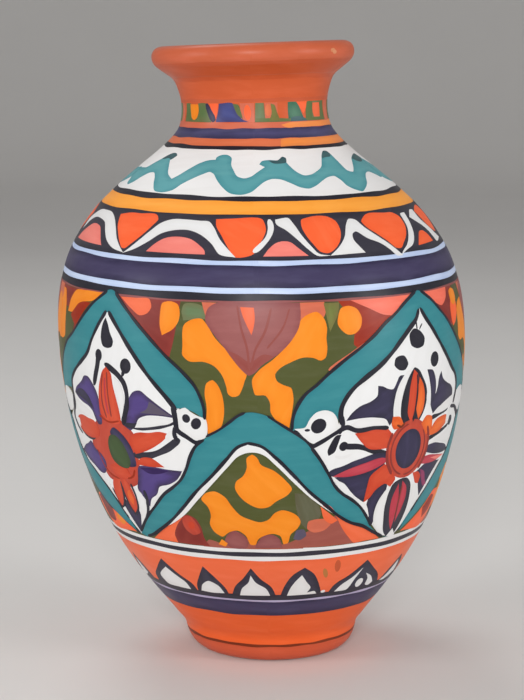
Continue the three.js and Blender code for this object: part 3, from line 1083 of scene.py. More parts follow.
# The left flower on its white ground.
FLOWER_LEFT = [
    fill(
        "white",
        (-45.4, 181.5), (-52, 168), (-58, 156.6), (-67, 144.5), (-68.6, 130), (-76, 121), (-74, 110),
        (-68.4, 101), (-60, 93), (-53.6, 80.6), (-47.9, 70), (-40.6, 81), (-30, 96), (-22.6, 109),
        (-17.6, 123.4), (-22.6, 138), (-31.6, 155),
    ),
    fill(
        "body_red",
        (-56, 124), (-51, 129.6), (-46, 132), (-42, 128), (-39, 124), (-38.6, 112), (-39.2, 104), (-41, 98),
        (-44, 95.5), (-50, 96), (-55, 97.5), (-57.4, 104), (-60, 112),
    ),
    fill(
        "black",
        (-46.2, 177.8), (-45.3, 175.5), (-44.3, 171), (-43.1, 167), (-43.6, 164.6), (-45.6, 163.5),
        (-47.3, 164.2), (-48, 167), (-47.9, 171), (-47.2, 175),
    ),
    dab("black", -49.3, 159.4, 1.4, 3),
    dab("black", -38.9, 156.2, 1.9, 3.7),
    line("black", 3.0, (-49.3, 160.6), (-50, 155), (-51.3, 149.6), (-52.7, 144)),
    line("black", 2.0, (-39.2, 155), (-40.4, 151)),
    fill(
        "petal_purple",
        (-65.4, 137.3), (-63.7, 140.4), (-61.4, 142.6), (-59.3, 144.8), (-57.7, 147.4), (-55.4, 147.6),
        (-53.5, 145), (-51.9, 141), (-51.2, 136), (-51.2, 130), (-51.9, 125), (-53.5, 124.5), (-54.7, 127),
        (-55.5, 130.5), (-57.2, 132.5), (-60.3, 133.6), (-63, 135),
    ),
    fill(
        "petal_purple",
        (-42.2, 127), (-40.5, 131), (-39.6, 136), (-38.4, 141.6), (-36.6, 144.6), (-34.5, 145.3),
        (-32.4, 143), (-29.3, 139.5), (-26.1, 136), (-24, 133.7), (-30, 134), (-33.5, 133.3),
        (-36.1, 131.3), (-37.7, 127.5), (-39.6, 125),
    ),
    fill(
        "petal_purple",
        (-70.6, 107), (-66.6, 110.4), (-63, 113.4), (-60.6, 114.2), (-59, 111), (-56.1, 109), (-54.5, 106),
        (-55, 102), (-57.7, 98.6), (-60.3, 98.8), (-63, 101), (-66.6, 103),
    ),
    fill(
        "petal_purple",
        (-39.3, 107), (-34, 108), (-28.7, 107.6), (-24.2, 107.6), (-25.6, 104), (-29.3, 100), (-33, 98),
        (-34.5, 94), (-37.2, 91), (-38.7, 86.6), (-39.8, 90), (-41.9, 95), (-40.8, 100),
    ),
    fill(
        "petal_navy",
        (-51.9, 83.6), (-49.8, 88), (-48.2, 84.4), (-46.1, 82), (-44.4, 83.4), (-44.4, 79), (-46.4, 73),
        (-47.9, 70.8), (-49.8, 76),
    ),
    line("charcoal", 3.2, (-41.4, 127.4), (-36.6, 127.4), (-31.4, 128.6), (-24.6, 131.6)),
    line("charcoal", 3.4, (-40.3, 112.6), (-34, 113.8), (-28.6, 117.6), (-23.6, 123.6)),
    line("charcoal", 1.2, (-54, 122), (-58.7, 116), (-63, 116.3), (-67, 119.4)),
    line(
        "black", 2.9,
        (-46.9, 155.8), (-44.5, 154), (-41.9, 151.4), (-40, 148), (-39.3, 143), (-39.8, 137), (-41.1, 132),
        (-42.2, 127),
    ),
    fill(
        "petal_red",
        (-46.4, 154.4), (-47.9, 152.4), (-49.2, 148.5), (-50.5, 143), (-51.3, 136), (-51.3, 130),
        (-47, 126.6), (-43.1, 128), (-42.9, 132), (-43.5, 139), (-44.3, 146), (-44.8, 152),
    ),
    fill(
        "petal_red",
        (-68.2, 122), (-66.6, 125), (-63, 126.7), (-59.3, 126.2), (-55.6, 125.4), (-54, 122),
        (-54.5, 118.6), (-58.7, 116.4), (-63, 116.8), (-66.3, 119),
    ),
    fill(
        "petal_red",
        (-41, 119), (-39.3, 123), (-37.2, 124.4), (-33.5, 125), (-29.3, 126.2), (-26.9, 125.6),
        (-28.2, 123), (-31.4, 119), (-35, 115.8), (-39.3, 113.3),
    ),
    fill(
        "petal_red",
        (-54.7, 88.6), (-53.9, 95), (-51.9, 98.6), (-49.8, 99.4), (-48.8, 97), (-49.6, 90), (-51.4, 85),
        (-52.9, 82.6), (-54.3, 84.6),
    ),
    fill(
        "petal_red",
        (-48.6, 98), (-46.8, 99), (-45, 94.6), (-44.3, 89), (-45, 84), (-47, 81), (-48.5, 84.6),
        (-49.2, 91),
    ),
    fill("petal_red", (-40.1, 108), (-37.7, 111.6), (-34, 112.4), (-29.8, 108.6), (-33.5, 108)),
    fill("petal_red", (-53, 104), (-49, 106.4), (-44.6, 105), (-43.4, 101), (-46, 99), (-50.6, 99.6)),
    fill(
        "white",
        (-43.4, 150.2), (-41.9, 148.5), (-40.6, 143), (-40.8, 137), (-41.9, 132), (-42.7, 129.3),
        (-43, 136), (-43.6, 143),
    ),
    fill(
        "white",
        (-66.6, 135.2), (-63, 133.2), (-59.8, 131.7), (-56.6, 129.7), (-55.1, 127), (-61.4, 127.2),
        (-65.6, 128.2), (-66.6, 131),
    ),
    fill(
        "white",
        (-37.9, 126.7), (-36.1, 130.5), (-33.5, 132.7), (-28.7, 133.3), (-24, 133), (-26.1, 130.7),
        (-29.3, 129.3), (-33.5, 127.7),
    ),
    fill(
        "white",
        (-75.4, 114.6), (-72, 119.4), (-68, 119), (-65.6, 117), (-60.6, 114.8), (-64, 112), (-68.2, 110.3),
        (-73.6, 109.6),
    ),
    fill(
        "navy",
        (-48.4, 122.6), (-46.8, 124.8), (-43.3, 122), (-41.2, 118), (-40, 112), (-40.2, 107), (-43, 106),
        (-46, 112),
    ),
    fill(
        "eye_green",
        (-50.4, 117), (-48.9, 120.4), (-46.6, 121), (-44.4, 118.6), (-42.8, 114), (-42.2, 108),
        (-43.5, 105.3), (-45.6, 104.8), (-48.2, 105.8), (-50, 108), (-50.8, 112.4),
    ),
    line("brick", 1.0, (-48.1, 151), (-49.2, 144), (-49.6, 135), (-48.8, 129)),
    line("brick", 1.0, (-46.2, 152), (-46.7, 142), (-46.6, 130)),
    line("crimson", 1.1, (-47.3, 149), (-48, 140), (-47.8, 131)),
    line("charcoal", 1.2, (-55.2, 92), (-54.6, 86.4), (-53, 82.2), (-51.4, 84.4), (-49.8, 90), (-49.3, 97)),
    line(
        "charcoal", 1.2,
        (-49.2, 95), (-49, 89), (-48.2, 84), (-46.8, 80.4), (-44.6, 84), (-43.8, 90), (-44.6, 97),
    ),
    line("charcoal", 2.2, (-39.4, 95), (-39.2, 89.6), (-40.2, 85), (-42.4, 79.6), (-44.6, 75)),
    fill(
        "white",
        (-68.9, 104), (-65.6, 100.7), (-61.9, 99.2), (-58.7, 97.7), (-56.6, 95), (-55.6, 91), (-54.2, 85.6),
        (-59.3, 93.8), (-63, 96.8),
    ),
    fill(
        "white",
        (-24.3, 106.7), (-27.2, 101.6), (-31.4, 98.6), (-33.5, 96), (-35.6, 91.6), (-38.2, 88.2),
        (-38.9, 84), (-34, 90.8), (-29.3, 97.3), (-25.6, 102.8),
    ),
    fill(
        "white",
        (-43.2, 95.4), (-41.1, 93.2), (-40.1, 89), (-40.6, 84.6), (-42.7, 79.6), (-45.4, 74), (-47.2, 71.2),
        (-45, 78), (-43.7, 84), (-43.4, 90),
    ),
    fill("white", (-53.2, 82), (-51.4, 83.4), (-49.6, 77), (-47.9, 71.6), (-50.8, 77)),
    fill("white", (-27, 126.3), (-24.9, 128.2), (-24.8, 124.2), (-27.4, 121.8), (-28, 123.6)),
    fill("white", (-68.4, 121), (-67.4, 124.4), (-65.8, 124), (-66, 120)),
    fill("petal_orange", (-47.4, 92), (-46, 93.6), (-45.2, 89.4), (-46, 85.6), (-47.2, 87)),
    fill(
        "petal_navy",
        (-64.8, 137.2), (-62.6, 139.8), (-59.6, 140.4), (-56.4, 137.6), (-54.4, 131.6), (-58.4, 134.6),
    ),
    fill(
        "dusk",
        (-31.8, 140.6), (-29.8, 138.9), (-27.4, 136.4), (-25.4, 134.5), (-30, 134.7), (-35.4, 134.4),
        (-32.8, 137),
    ),
    fill("plum", (-38.8, 106.6), (-34, 107.4), (-28.4, 107), (-31.6, 105), (-36, 104.4)),
    line("rust", 0.9, (-57.6, 111), (-56.2, 104), (-53.4, 99.6), (-49.4, 98.2)),
    line("rust", 0.9, (-41.2, 104.8), (-42.6, 101.2), (-45.2, 99.4)),
    line("rust", 0.9, (-52.2, 129.4), (-48, 127.2), (-43.6, 128.6)),
]

# The right frame, made like the left one.
FRAME_RIGHT = [
    line("neck_coral", 2.2, (17.6, 157.2), (25, 164.6), (30, 169.8), (35, 176), (38.8, 180.4)),
    fill(
        "teal",
        (49, 190), (46.6, 188.5), (42.5, 184.5), (38.4, 180), (35.4, 177), (31.3, 171.5), (26.6, 166),
        (22.5, 161.5), (17.8, 155.5), (14.2, 150), (11.3, 146), (8.9, 140), (7.8, 134), (7.8, 129),
        (11.3, 130), (12.6, 134.6), (14.2, 137.5), (16.6, 138.2), (18.8, 137), (20.4, 133), (21.3, 134),
        (21.4, 139), (22.5, 144), (24.8, 148.5), (28.4, 153), (32.5, 157.5), (36.6, 163), (40.1, 168.5),
        (43.6, 173.5), (46.6, 177.5), (48.3, 182), (50.1, 178), (53.1, 172), (56, 166), (58.9, 160.5),
        (61.9, 155), (64.8, 150), (67.8, 146), (69.2, 141), (70.2, 137), (74, 138.4), (79.6, 136),
        (78.4, 144), (75.4, 152), (72.5, 156), (69.5, 161), (66.6, 166), (63.6, 171), (60.7, 175.5),
        (57.8, 179.5), (54.8, 184), (51.9, 187.5),
    ),
    fill(
        "teal",
        (50.4, 71), (53, 78), (56, 85), (58.9, 90), (61.9, 95), (64.8, 100), (67.6, 104), (70.4, 108),
        (72.6, 115), (75.6, 124), (80, 127), (80, 116), (77, 103), (72.6, 93.6), (67.8, 87.4), (61.9, 81.4),
        (56, 75.6),
    ),
    fill(
        "white",
        (8.2, 130), (11.1, 130.6), (12.4, 134.6), (14.2, 137.6), (16.6, 138.4), (18.8, 137), (20.3, 132),
        (19.9, 128), (17.2, 125), (13.6, 122.4), (11.1, 124.8),
    ),
    fill(
        "white",
        (69.6, 132), (70.6, 136.6), (74, 138), (78.6, 136.4), (80, 131), (77.4, 125.6), (73.4, 126),
        (70.8, 128),
    ),
    line(
        "black", 1.5,
        (48, 190), (42.5, 185), (38.4, 180.4), (35.4, 177.4), (31.3, 171.9), (26.6, 166.4), (22.5, 161.9),
        (17.8, 155.9), (14.2, 150.4), (11.3, 146.4), (8.9, 140.4), (7.7, 134), (7.6, 129.4),
    ),
    line(
        "black", 1.5,
        (49.8, 190), (54.8, 184.4), (57.8, 179.9), (60.7, 175.9), (63.6, 171.4), (66.6, 166.4),
        (69.5, 161.4), (72.5, 156.4), (76, 150),
    ),
    line(
        "black", 2.4,
        (48, 181.6), (46.6, 177.5), (43.6, 173.3), (40.1, 168.2), (36.6, 162.7), (32.5, 157.2),
        (28.4, 152.7), (24.8, 148.2), (22.5, 143.6), (21.2, 139), (21.1, 133.6), (22, 130),
    ),
    line(
        "black", 2.1,
        (48.6, 182), (50.1, 178), (53.1, 171.8), (56, 165.8), (58.9, 160.2), (61.9, 154.7), (64.8, 149.7),
        (67.8, 145.6), (69.4, 141), (69.4, 136), (68.4, 131),
    ),
    line(
        "black", 1.2,
        (54, 80), (56, 84.8), (58.9, 89.8), (61.9, 94.8), (64.8, 99.8), (68, 104), (70.2, 108), (72.4, 115),
        (75.4, 123.8), (79, 127),
    ),
    line(
        "black", 2.2,
        (12.8, 120.6), (16.6, 124), (20.1, 127.4), (23, 129.4), (25.6, 127.6), (31.9, 127.8), (36.4, 126.9),
    ),
    line("black", 1.8, (8.2, 129.4), (10.6, 124.8), (13.4, 121)),
    line("black", 1.6, (21.2, 136), (21.8, 131), (20.8, 126.4)),
    line("charcoal", 2.0, (66.4, 130), (70.6, 128.6), (74.6, 124.6), (77.4, 124)),
    dab("black", 14.8, 131, 2.2, 3.5, 24),
    dab("charcoal", 11.7, 129.2, 0.7, 0.7),
    fill("white", (44.2, 69.4), (46.4, 73.2), (48.6, 69.4), (46.4, 68.8)),
]

# The middle of the right flower, and the number of points that its round shapes are drawn with.
MIDDLE_TURN, MIDDLE_HEIGHT = 45.3, 114.5
ROUND_POINTS = 14


def round_middle(wide, tall, start=0, stop=FULL_TURN):
    """Points round an ellipse about the right flower's middle, anticlockwise from its right side."""
    angles = np.radians(np.linspace(start, stop, ROUND_POINTS, endpoint=stop - start < FULL_TURN))
    return [(MIDDLE_TURN + wide * math.cos(a), MIDDLE_HEIGHT + tall * math.sin(a)) for a in angles]


# The right flower on its white ground.
FLOWER_RIGHT = [
    fill(
        "white",
        (48.4, 181.6), (40, 167), (31, 154.6), (22, 143), (20.6, 132), (13.4, 120), (17.6, 107),
        (24.6, 94.6), (34, 80.6), (42, 70.6), (47.6, 69.8), (55, 83.6), (63, 97), (69, 104.6), (73, 112),
        (75, 121), (70, 129), (69.6, 141), (62, 154.6), (54, 169.6),
    ),
    fill(
        "black",
        (43.4, 170.6), (45.2, 172.8), (47.6, 171.4), (49.5, 167.4), (49, 164.4), (46.4, 163.2), (43.9, 165),
    ),
    line("black", 0.9, (46.2, 178.4), (46.5, 172)),
    line("black", 0.9, (48.8, 174.6), (47.4, 172)),
    fill(
        "black",
        (38, 160.2), (39.4, 161), (41, 160.8), (42.5, 156.4), (41.4, 154), (39.2, 154.2), (37.5, 156.8),
    ),
    dab("black", 54, 156.4, 1.9, 3.9),
    fill(
        "black",
        (45.1, 154.4), (43.2, 151), (41.4, 145), (40.4, 138), (40.5, 132), (41.7, 126.6), (45, 128),
        (47.4, 126.6), (49.7, 131), (50.9, 137), (50.6, 143), (48.6, 149), (46.8, 153),
    ),
    fill(
        "petal_navy",
        (22.6, 132.5), (24.2, 136), (26.6, 139), (30.1, 141), (31.9, 143), (32.1, 148), (33.8, 147.4),
        (35.4, 146), (37.2, 145.5), (38.4, 148.6), (39.4, 151.4), (41.4, 151.5), (39.5, 147), (38.1, 142),
        (37.6, 136), (37.6, 130), (36.6, 127.6), (35.4, 131), (31.9, 132.7), (27.2, 133.2),
    ),
    fill(
        "petal_navy",
        (54.8, 129.5), (53.2, 134), (52.9, 138), (55.2, 139), (56.1, 142), (56.7, 147), (57.8, 149.7),
        (58.9, 146.2), (61.9, 143), (64.8, 141), (66.5, 138), (66.6, 135.6), (62.5, 134.3), (57.8, 131.8),
    ),
    fill(
        "petal_navy",
        (50.5, 152.2), (53.1, 151.4), (54.7, 147), (55.2, 140), (54.9, 137), (53.1, 134), (52.6, 142),
        (51.7, 147),
    ),
    fill(
        "petal_navy",
        (54.6, 113.4), (57.8, 114), (62.5, 112.6), (68.4, 109.6), (70.4, 107), (64.8, 107), (58.9, 108.3),
        (53.6, 110.6),
    ),
    fill(
        "petal_navy",
        (38.8, 98.4), (36.6, 98.7), (34.2, 96), (32.3, 92), (32, 88), (33.4, 82), (35.4, 76.4), (36.2, 80),
        (35.9, 85), (36.8, 90), (38.6, 95),
    ),
    fill(
        "petal_navy",
        (20, 105), (25.4, 105.4), (32.5, 107), (36.6, 109.6), (33.8, 103), (32.1, 98), (30.6, 90.6),
        (26, 96), (23, 101),
    ),
    fill(
        "petal_navy",
        (50.4, 101), (55.4, 104.6), (65, 103.4), (61.4, 99), (58.4, 93), (56, 87.6), (54, 93), (52.2, 99),
    ),
    fill(
        "charcoal",
        (41.3, 98), (39.8, 92), (39.6, 86), (40.5, 79), (42.3, 72), (44.2, 69.6), (47.4, 69.6), (49.7, 76),
        (50.6, 83), (50.3, 90), (49.1, 96.4), (46.6, 99.6), (44.2, 99.6),
    ),
    line("black", 3.0, (21.2, 120.6), (23.6, 119.9), (26.6, 119.4), (31.3, 116.8), (37, 113.6)),
    line("petal_navy", 4.2, (18.2, 106.8), (22, 108.4), (27, 110.6), (32, 112.6), (38, 113)),
    line("black", 2.2, (54, 127.3), (58.9, 128.6), (64.4, 129.7)),
    line("black", 2.0, (53.4, 116.9), (58.9, 118.4), (64.6, 120.2), (66.6, 121)),
    fill(
        "black",
        (17.9, 116), (19.6, 117.6), (20.4, 121), (21.4, 126), (20.2, 126), (18.2, 121.4), (17.5, 118),
    ),
    dab("black", 22.2, 120.2, 1.3, 2.3),
    fill("body_red", *round_middle(8.7, 14.6)),
    fill(
        "petal_red",
        (25.4, 126), (29.5, 127), (36, 126.7), (38, 123), (38, 117), (34.2, 116.8), (30.1, 117.8),
        (27.6, 121.5),
    ),
    fill(
        "crimson",
        (19.3, 105.4), (23.6, 108.2), (29.5, 110.8), (35.4, 112.3), (38.2, 111), (34.2, 108), (29.5, 105.8),
        (23.6, 104.8),
    ),
    fill(
        "petal_red",
        (31.7, 103.4), (36.4, 109), (39.4, 105), (41.6, 100), (40, 96.4), (37.8, 98.7), (34.6, 96.4),
        (32.3, 92), (30.7, 90.6), (31.1, 98),
    ),
    fill(
        "petal_red",
        (44.8, 153.4), (43.7, 147), (43.2, 139), (43.2, 132), (44.8, 127.6), (45.9, 134), (46.5, 144),
        (46.4, 151),
    ),
    fill(
        "petal_orange",
        (47.2, 149.4), (48.9, 145.4), (49.9, 139), (49.3, 132), (47.8, 128.6), (46.5, 134), (46.6, 143),
    ),
    fill("petal_orange", (37.6, 132), (40.3, 131.4), (42, 127), (38.4, 125.6), (37.4, 128)),
    fill("petal_orange", (49.5, 126), (51.7, 129.4), (54.4, 128.4), (55, 122), (52.5, 119.6)),
    fill(
        "petal_orange",
        (53.1, 118.8), (54.8, 122), (57.2, 125.7), (60.7, 126.8), (63.8, 126.4), (64.1, 123), (61.3, 120.3),
        (57.2, 118.8),
    ),
    fill("crimson", (43.6, 97.4), (42, 90), (42.3, 83), (44, 76), (45.4, 72.6), (45.5, 81), (44.9, 90)),
    fill("crimson", (45.1, 98.4), (47.4, 95), (48.3, 90), (47.7, 83), (46.3, 76.4), (45.7, 86)),
    fill("magenta", (52.9, 102.2), (55.4, 100.4), (57.9, 94.4), (59.1, 93), (57.2, 92.3), (54.6, 97)),
    fill(
        "crimson",
        (51.7, 108), (56, 108.4), (61.9, 107), (67, 105.6), (61.9, 104.2), (56.6, 104.2), (52.3, 105.6),
    ),
    fill("pink", (57.6, 106.6), (61.9, 106.4), (67.6, 105.5), (61.9, 104.7)),
    fill("petal_navy", *round_middle(5.3, 9.9)),
    line("brick", 0.9, *round_middle(7.1, 12.8, 100, 255)),
    line("brick", 0.9, *round_middle(7.1, 12.8, 265, 400)),
    fill(
        "white",
        (44.8, 154.7), (42.3, 153.2), (39.9, 149), (38.2, 143), (37.9, 137), (38.4, 132.3), (40, 131.8),
        (40.3, 140), (41.7, 147), (43.4, 152),
    ),
    fill(
        "white",
        (24, 130.5), (26.6, 132.6), (31.9, 132.2), (35.4, 130.7), (36.8, 127.5), (31.9, 127.9),
        (27.2, 128.3),
    ),
    fill(
        "white",
        (54.4, 129.1), (57.2, 131.7), (61.9, 133.3), (66.6, 135.3), (69, 132.4), (64.8, 130), (58.9, 128.8),
    ),
    fill("white", (51.1, 146.4), (52.5, 141), (52.6, 133.6), (51.2, 136)),
    fill(
        "white",
        (19.6, 104.2), (23, 101.7), (26, 96.4), (29.5, 91.6), (31.2, 90.2), (33.4, 84), (34.3, 78.6),
        (31.9, 83.7), (28.4, 89.6), (23.6, 95.6),
    ),
    fill(
        "white",
        (39.8, 97.2), (37.9, 94), (36.1, 89), (35.6, 84), (36.5, 78), (38.9, 73.8), (42, 71.2), (40.7, 77),
        (39.5, 83), (39.6, 90),
    ),
    fill(
        "white",
        (50.2, 94.7), (52.5, 95.4), (53.8, 91), (53.8, 86), (52.9, 80), (50.5, 75.4), (50.9, 84), (51, 90),
    ),
    fill(
        "white",
        (55.7, 85.4), (57.6, 91), (60.5, 96), (63.4, 102), (67.4, 105), (66.2, 101), (62.7, 95),
        (58.5, 88.2),
    ),
    fill(
        "white",
        (56, 114), (58.9, 116.2), (63.6, 117.2), (67.2, 119.2), (68.8, 124), (69, 127), (71.4, 125.6),
        (73.4, 120.6), (73, 115.6), (69.6, 110.6), (64.8, 112.3), (60.7, 114),
    ),
    fill("white", (63.8, 121.4), (64.2, 128.4), (66.2, 129.4), (66.6, 126), (65.6, 122)),
    fill("petal_red", (49.2, 101.4), (52, 101.2), (53.8, 98.4), (53.4, 94.8), (51.8, 95.4), (50.6, 98)),
    line("brown_line", 1.4, (39.4, 127.6), (41, 126.4), (42.4, 128)),
    line("black", 1.1, (46.2, 151), (46.5, 143), (46.1, 134), (45.6, 128)),
    line("dark_maroon", 1.0, (45.3, 96), (45.3, 88), (45.6, 79)),
    line("brick", 1.6, (38, 124), (36.8, 117), (37.2, 110), (39.6, 103)),
    line("brick", 1.6, (52.8, 124), (54.2, 117), (53.6, 109), (51.4, 103)),
    fill("charcoal", (66.2, 121.6), (66.4, 125), (68.2, 125), (69, 122.6), (67.6, 120)),
    line("white", 1.6, (19.8, 115.4), (22, 114.6), (25, 116)),
    fill("crimson", (28, 106.4), (32, 108), (36.4, 110.6), (34, 108.2)),
]

# Field colours beside the two frames, seen at the pot's left and right edges.
SIDE_FIELD = [
    fill("brick", (-79, 188.4), (-60, 188.4), (-60, 172), (-66, 165), (-74, 168), (-80, 176)),
    fill(
        "olive",
        (-71, 178.6), (-66, 178), (-62.6, 172), (-64, 166), (-70.6, 160), (-74, 158.6), (-75.6, 166),
    ),
    fill("brick", (51.6, 188.6), (69, 188.6), (68, 172), (63, 170), (58, 178)),
    fill("olive", (69, 188.6), (75, 188.6), (75.6, 166), (74, 156), (70, 160), (66, 168), (68.6, 174)),
    fill("vermilion", (-50.6, 70), (-56, 75.4), (-62, 80.6), (-66, 84.6), (-72, 84), (-74, 76), (-70, 70)),
    fill("vermilion", (52, 70), (57, 74.4), (63, 80), (69, 86.6), (74, 86), (74, 76), (70, 70)),
    fill(
        "amber",
        (-77.6, 184.4), (-75, 186.6), (-71.4, 186.4), (-69.8, 182), (-69.8, 170), (-70.4, 164), (-74, 162),
        (-77.6, 164), (-78.4, 175),
    ),
    fill(
        "amber",
        (-67.4, 176.6), (-65.8, 183), (-63, 187.4), (-57, 188.7), (-48.6, 189), (-52.6, 184.6),
        (-57.7, 183), (-60.8, 181), (-64, 177),
    ),
    fill(
        "rust",
        (-65, 175.4), (-62.4, 179), (-60.4, 181.6), (-57.6, 183.2), (-53.6, 183.4), (-56, 180),
        (-61.9, 171.3),
    ),
    fill("coral", (50, 188.8), (52.6, 188), (56, 183.6), (60, 181), (63.6, 184.6), (64.6, 188.8)),
    fill(
        "vermilion",
        (66, 181), (67.4, 183.6), (70.6, 181.4), (71, 177), (68.8, 171.4), (66.6, 169.6), (65.6, 174),
    ),
    fill("amber", (66.4, 186.4), (68.4, 187.6), (70.8, 186), (71, 181.6), (69, 179.2), (66.8, 181)),
    fill("amber", (73.4, 178), (75.6, 181.4), (79.4, 180), (79.4, 166), (76.4, 163), (73.6, 166)),
    fill("brick", (-72, 83), (-68, 84.6), (-64.6, 82.4), (-62.4, 78), (-64, 72), (-70, 72)),
    fill("amber", (-60, 77.4), (-57, 76.8), (-55.6, 73.4), (-58.6, 71.6), (-61.6, 74)),
    fill("rust", (63, 79), (68, 84.4), (71.6, 82.4), (71, 76), (66, 73)),
]

# Where the belt's motifs are painted again, round the sides and the back, in degrees.
SEEN = (-77, 77)  # the side copies leave out what would reach in here
FIELD_COPIES = [("left", -90.5, SEEN), ("back", 180.5, None), ("right", 90.5, SEEN)]
FIELD_STRETCH = 0.94
LEFT_TENT, RIGHT_TENT, BACK_TENT = -90.5, 91, 181.5
BEHIND_RIGHT = {"shift": 182, "centre": -46, "stretch": 0.96}
BEHIND_LEFT = {"shift": -181.5, "centre": 46.5, "stretch": 0.96}


def paint_belt():
    draw("field", HEART_FIELD)
    draw("field", UNDER_TENT)
    draw("field", SIDE_FIELD)
    for name, centre, skip in FIELD_COPIES:
        draw("field_" + name, HEART_FIELD, shift=centre, stretch=FIELD_STRETCH, skip=skip)
        draw("field_" + name, UNDER_TENT, shift=centre, stretch=FIELD_STRETCH, skip=skip)
    draw("tent_left", TENT, shift=LEFT_TENT)
    draw("tent_right", TENT, shift=RIGHT_TENT)
    for name, left, right in (("flower", FLOWER_LEFT, FLOWER_RIGHT), ("frame", FRAME_LEFT, FRAME_RIGHT)):
        draw(name + "_a", left)
        draw(name + "_b", right)
        draw(name + "_c", left, **BEHIND_RIGHT)
        draw(name + "_d", right, **BEHIND_LEFT)
    draw("tent_front", TENT)
    draw("tent_back", TENT, shift=BACK_TENT, stretch=0.95)


# ------------------------------------------------------------------ the shoulder: arcs and the wave

# Red and pink arcs, and the white bands between them.
ARCS = [
    fill(
        "vermilion",
        (-54.8, 224.3), (-49.5, 225.5), (-44.8, 225.6), (-36, 224.9), (-35.3, 223.7), (-36.6, 220.8),
        (-39.5, 216), (-42.5, 212), (-44.2, 210), (-45.4, 210), (-47.2, 212), (-50.1, 216), (-53, 220.2),
    ),
    fill(
        "vermilion",
        (-13.9, 224.9), (-9.5, 225.2), (2, 224.6), (2.7, 220.8), (1.5, 216.6), (-0.2, 213.1), (-1.3, 210.2),
        (-3.6, 208.9), (-6.9, 208.7), (-8.9, 212.5), (-11.3, 217.8), (-13.6, 222.5),
    ),
    fill(
        "vermilion",
        (14.8, 224.6), (16.8, 225.4), (25.6, 224.9), (26.8, 223.7), (27.4, 220.2), (26.2, 215.5),
        (23.9, 212), (20.9, 209.9), (18.9, 210.5), (16.8, 214.3), (15.1, 218.4), (14.4, 222),
    ),
    fill(
        "vermilion",
        (36.8, 222.5), (39.2, 224.9), (49.8, 225.4), (54.5, 224.9), (56.8, 223.1), (56.8, 219.6),
        (54.5, 215.5), (50.9, 212), (48, 209.6), (46.2, 209.9), (43.9, 213.1), (40.4, 217.2), (37.4, 220.8),
    ),
    fill(
        "vermilion",
        (71.5, 223.7), (75, 225), (83, 225), (86, 222), (84, 217), (80, 213), (76, 215), (74.3, 217),
    ),
    fill(
        "pink",
        (-79.5, 210), (-76.6, 213.7), (-73.6, 216), (-70.1, 218.1), (-66.6, 218.4), (-62.5, 217.3),
        (-60.1, 214.9), (-57.8, 212), (-56, 209.8),
    ),
    fill(
        "pink",
        (-35.4, 209.6), (-33.1, 213.1), (-30.1, 215.8), (-25.4, 216.8), (-20.7, 215.8), (-17.8, 213.4),
        (-16, 211.1), (-15.8, 209.6),
    ),
    fill(
        "pink",
        (1.4, 209.1), (3.3, 212.5), (5.6, 214.9), (8, 215.6), (9.8, 215.2), (12.1, 212.5), (14.8, 209.1),
    ),
    fill(
        "vermilion",
        (57.8, 209.6), (60.4, 212.7), (63.3, 215.3), (66.2, 215.3), (68.6, 213.1), (69.8, 210),
    ),
    fill(
        "white",
        (-80, 219), (-76, 222.6), (-73, 224.3), (-67.2, 224.9), (-60.7, 224.3), (-56.6, 222), (-53, 218.4),
        (-49.5, 213.7), (-46, 209.9), (-44.2, 208.1), (-49.5, 209.4), (-54.2, 212.3), (-57.8, 216),
        (-61.3, 219.6), (-66.6, 221), (-72.5, 220.8), (-76, 219), (-80, 214.3),
    ),
    fill(
        "white",
        (-43.6, 208.7), (-40.7, 212.5), (-36.6, 218.4), (-33.6, 222.2), (-30.1, 224), (-24.2, 224.3),
        (-19.5, 224), (-16, 223.7), (-14.2, 221.4), (-11.9, 216.6), (-8.9, 212), (-6.6, 208.6),
        (-11.3, 209.7), (-14.2, 214.3), (-17.8, 217.8), (-21.9, 219.7), (-27.2, 219.6), (-31.9, 217.8),
        (-36, 213.7), (-40.1, 210.2), (-44.4, 207.8),
    ),
    line("white", 2.6, (-1.4, 210.8), (0.9, 213.7), (3.4, 217.8), (4.3, 221.4), (4, 225)),
    fill(
        "white",
        (6, 224.9), (10.6, 225.4), (12.1, 222.5), (13.9, 217.8), (16.2, 213.1), (18, 209.9), (21.7, 208.8),
        (17.4, 209), (15.1, 211.8), (12.1, 216.4), (9.2, 220.2), (6, 223.4),
    ),
    fill(
        "white",
        (21.5, 208.8), (25.1, 212.5), (28, 216.6), (30.4, 222), (32.1, 224.1), (34.5, 223.7), (36.8, 220.2),
        (40.4, 216), (43.9, 212), (46.8, 207.8), (47.6, 206.4), (45, 206.6), (43.3, 209.4), (40.4, 212.7),
        (36.2, 215.3), (32.6, 218.6), (31.2, 217.6), (30.8, 215.2), (32.1, 212), (33.4, 209.2),
        (27.4, 209.1),
    ),
    fill(
        "white",
        (47.2, 206.6), (48, 207.7), (52.1, 211), (55.1, 214.5), (57.4, 218.4), (58.6, 224), (62, 224.3),
        (60.6, 219), (58.2, 214.1), (55.1, 210.6), (49.8, 208.2),
    ),
    fill(
        "white",
        (63.3, 222), (68.6, 224.9), (70.9, 224.6), (70.9, 220.8), (74.5, 216), (79.8, 210.2), (73.3, 209.4),
        (71.5, 214.1), (68.6, 217.6), (65.6, 220),
    ),
]

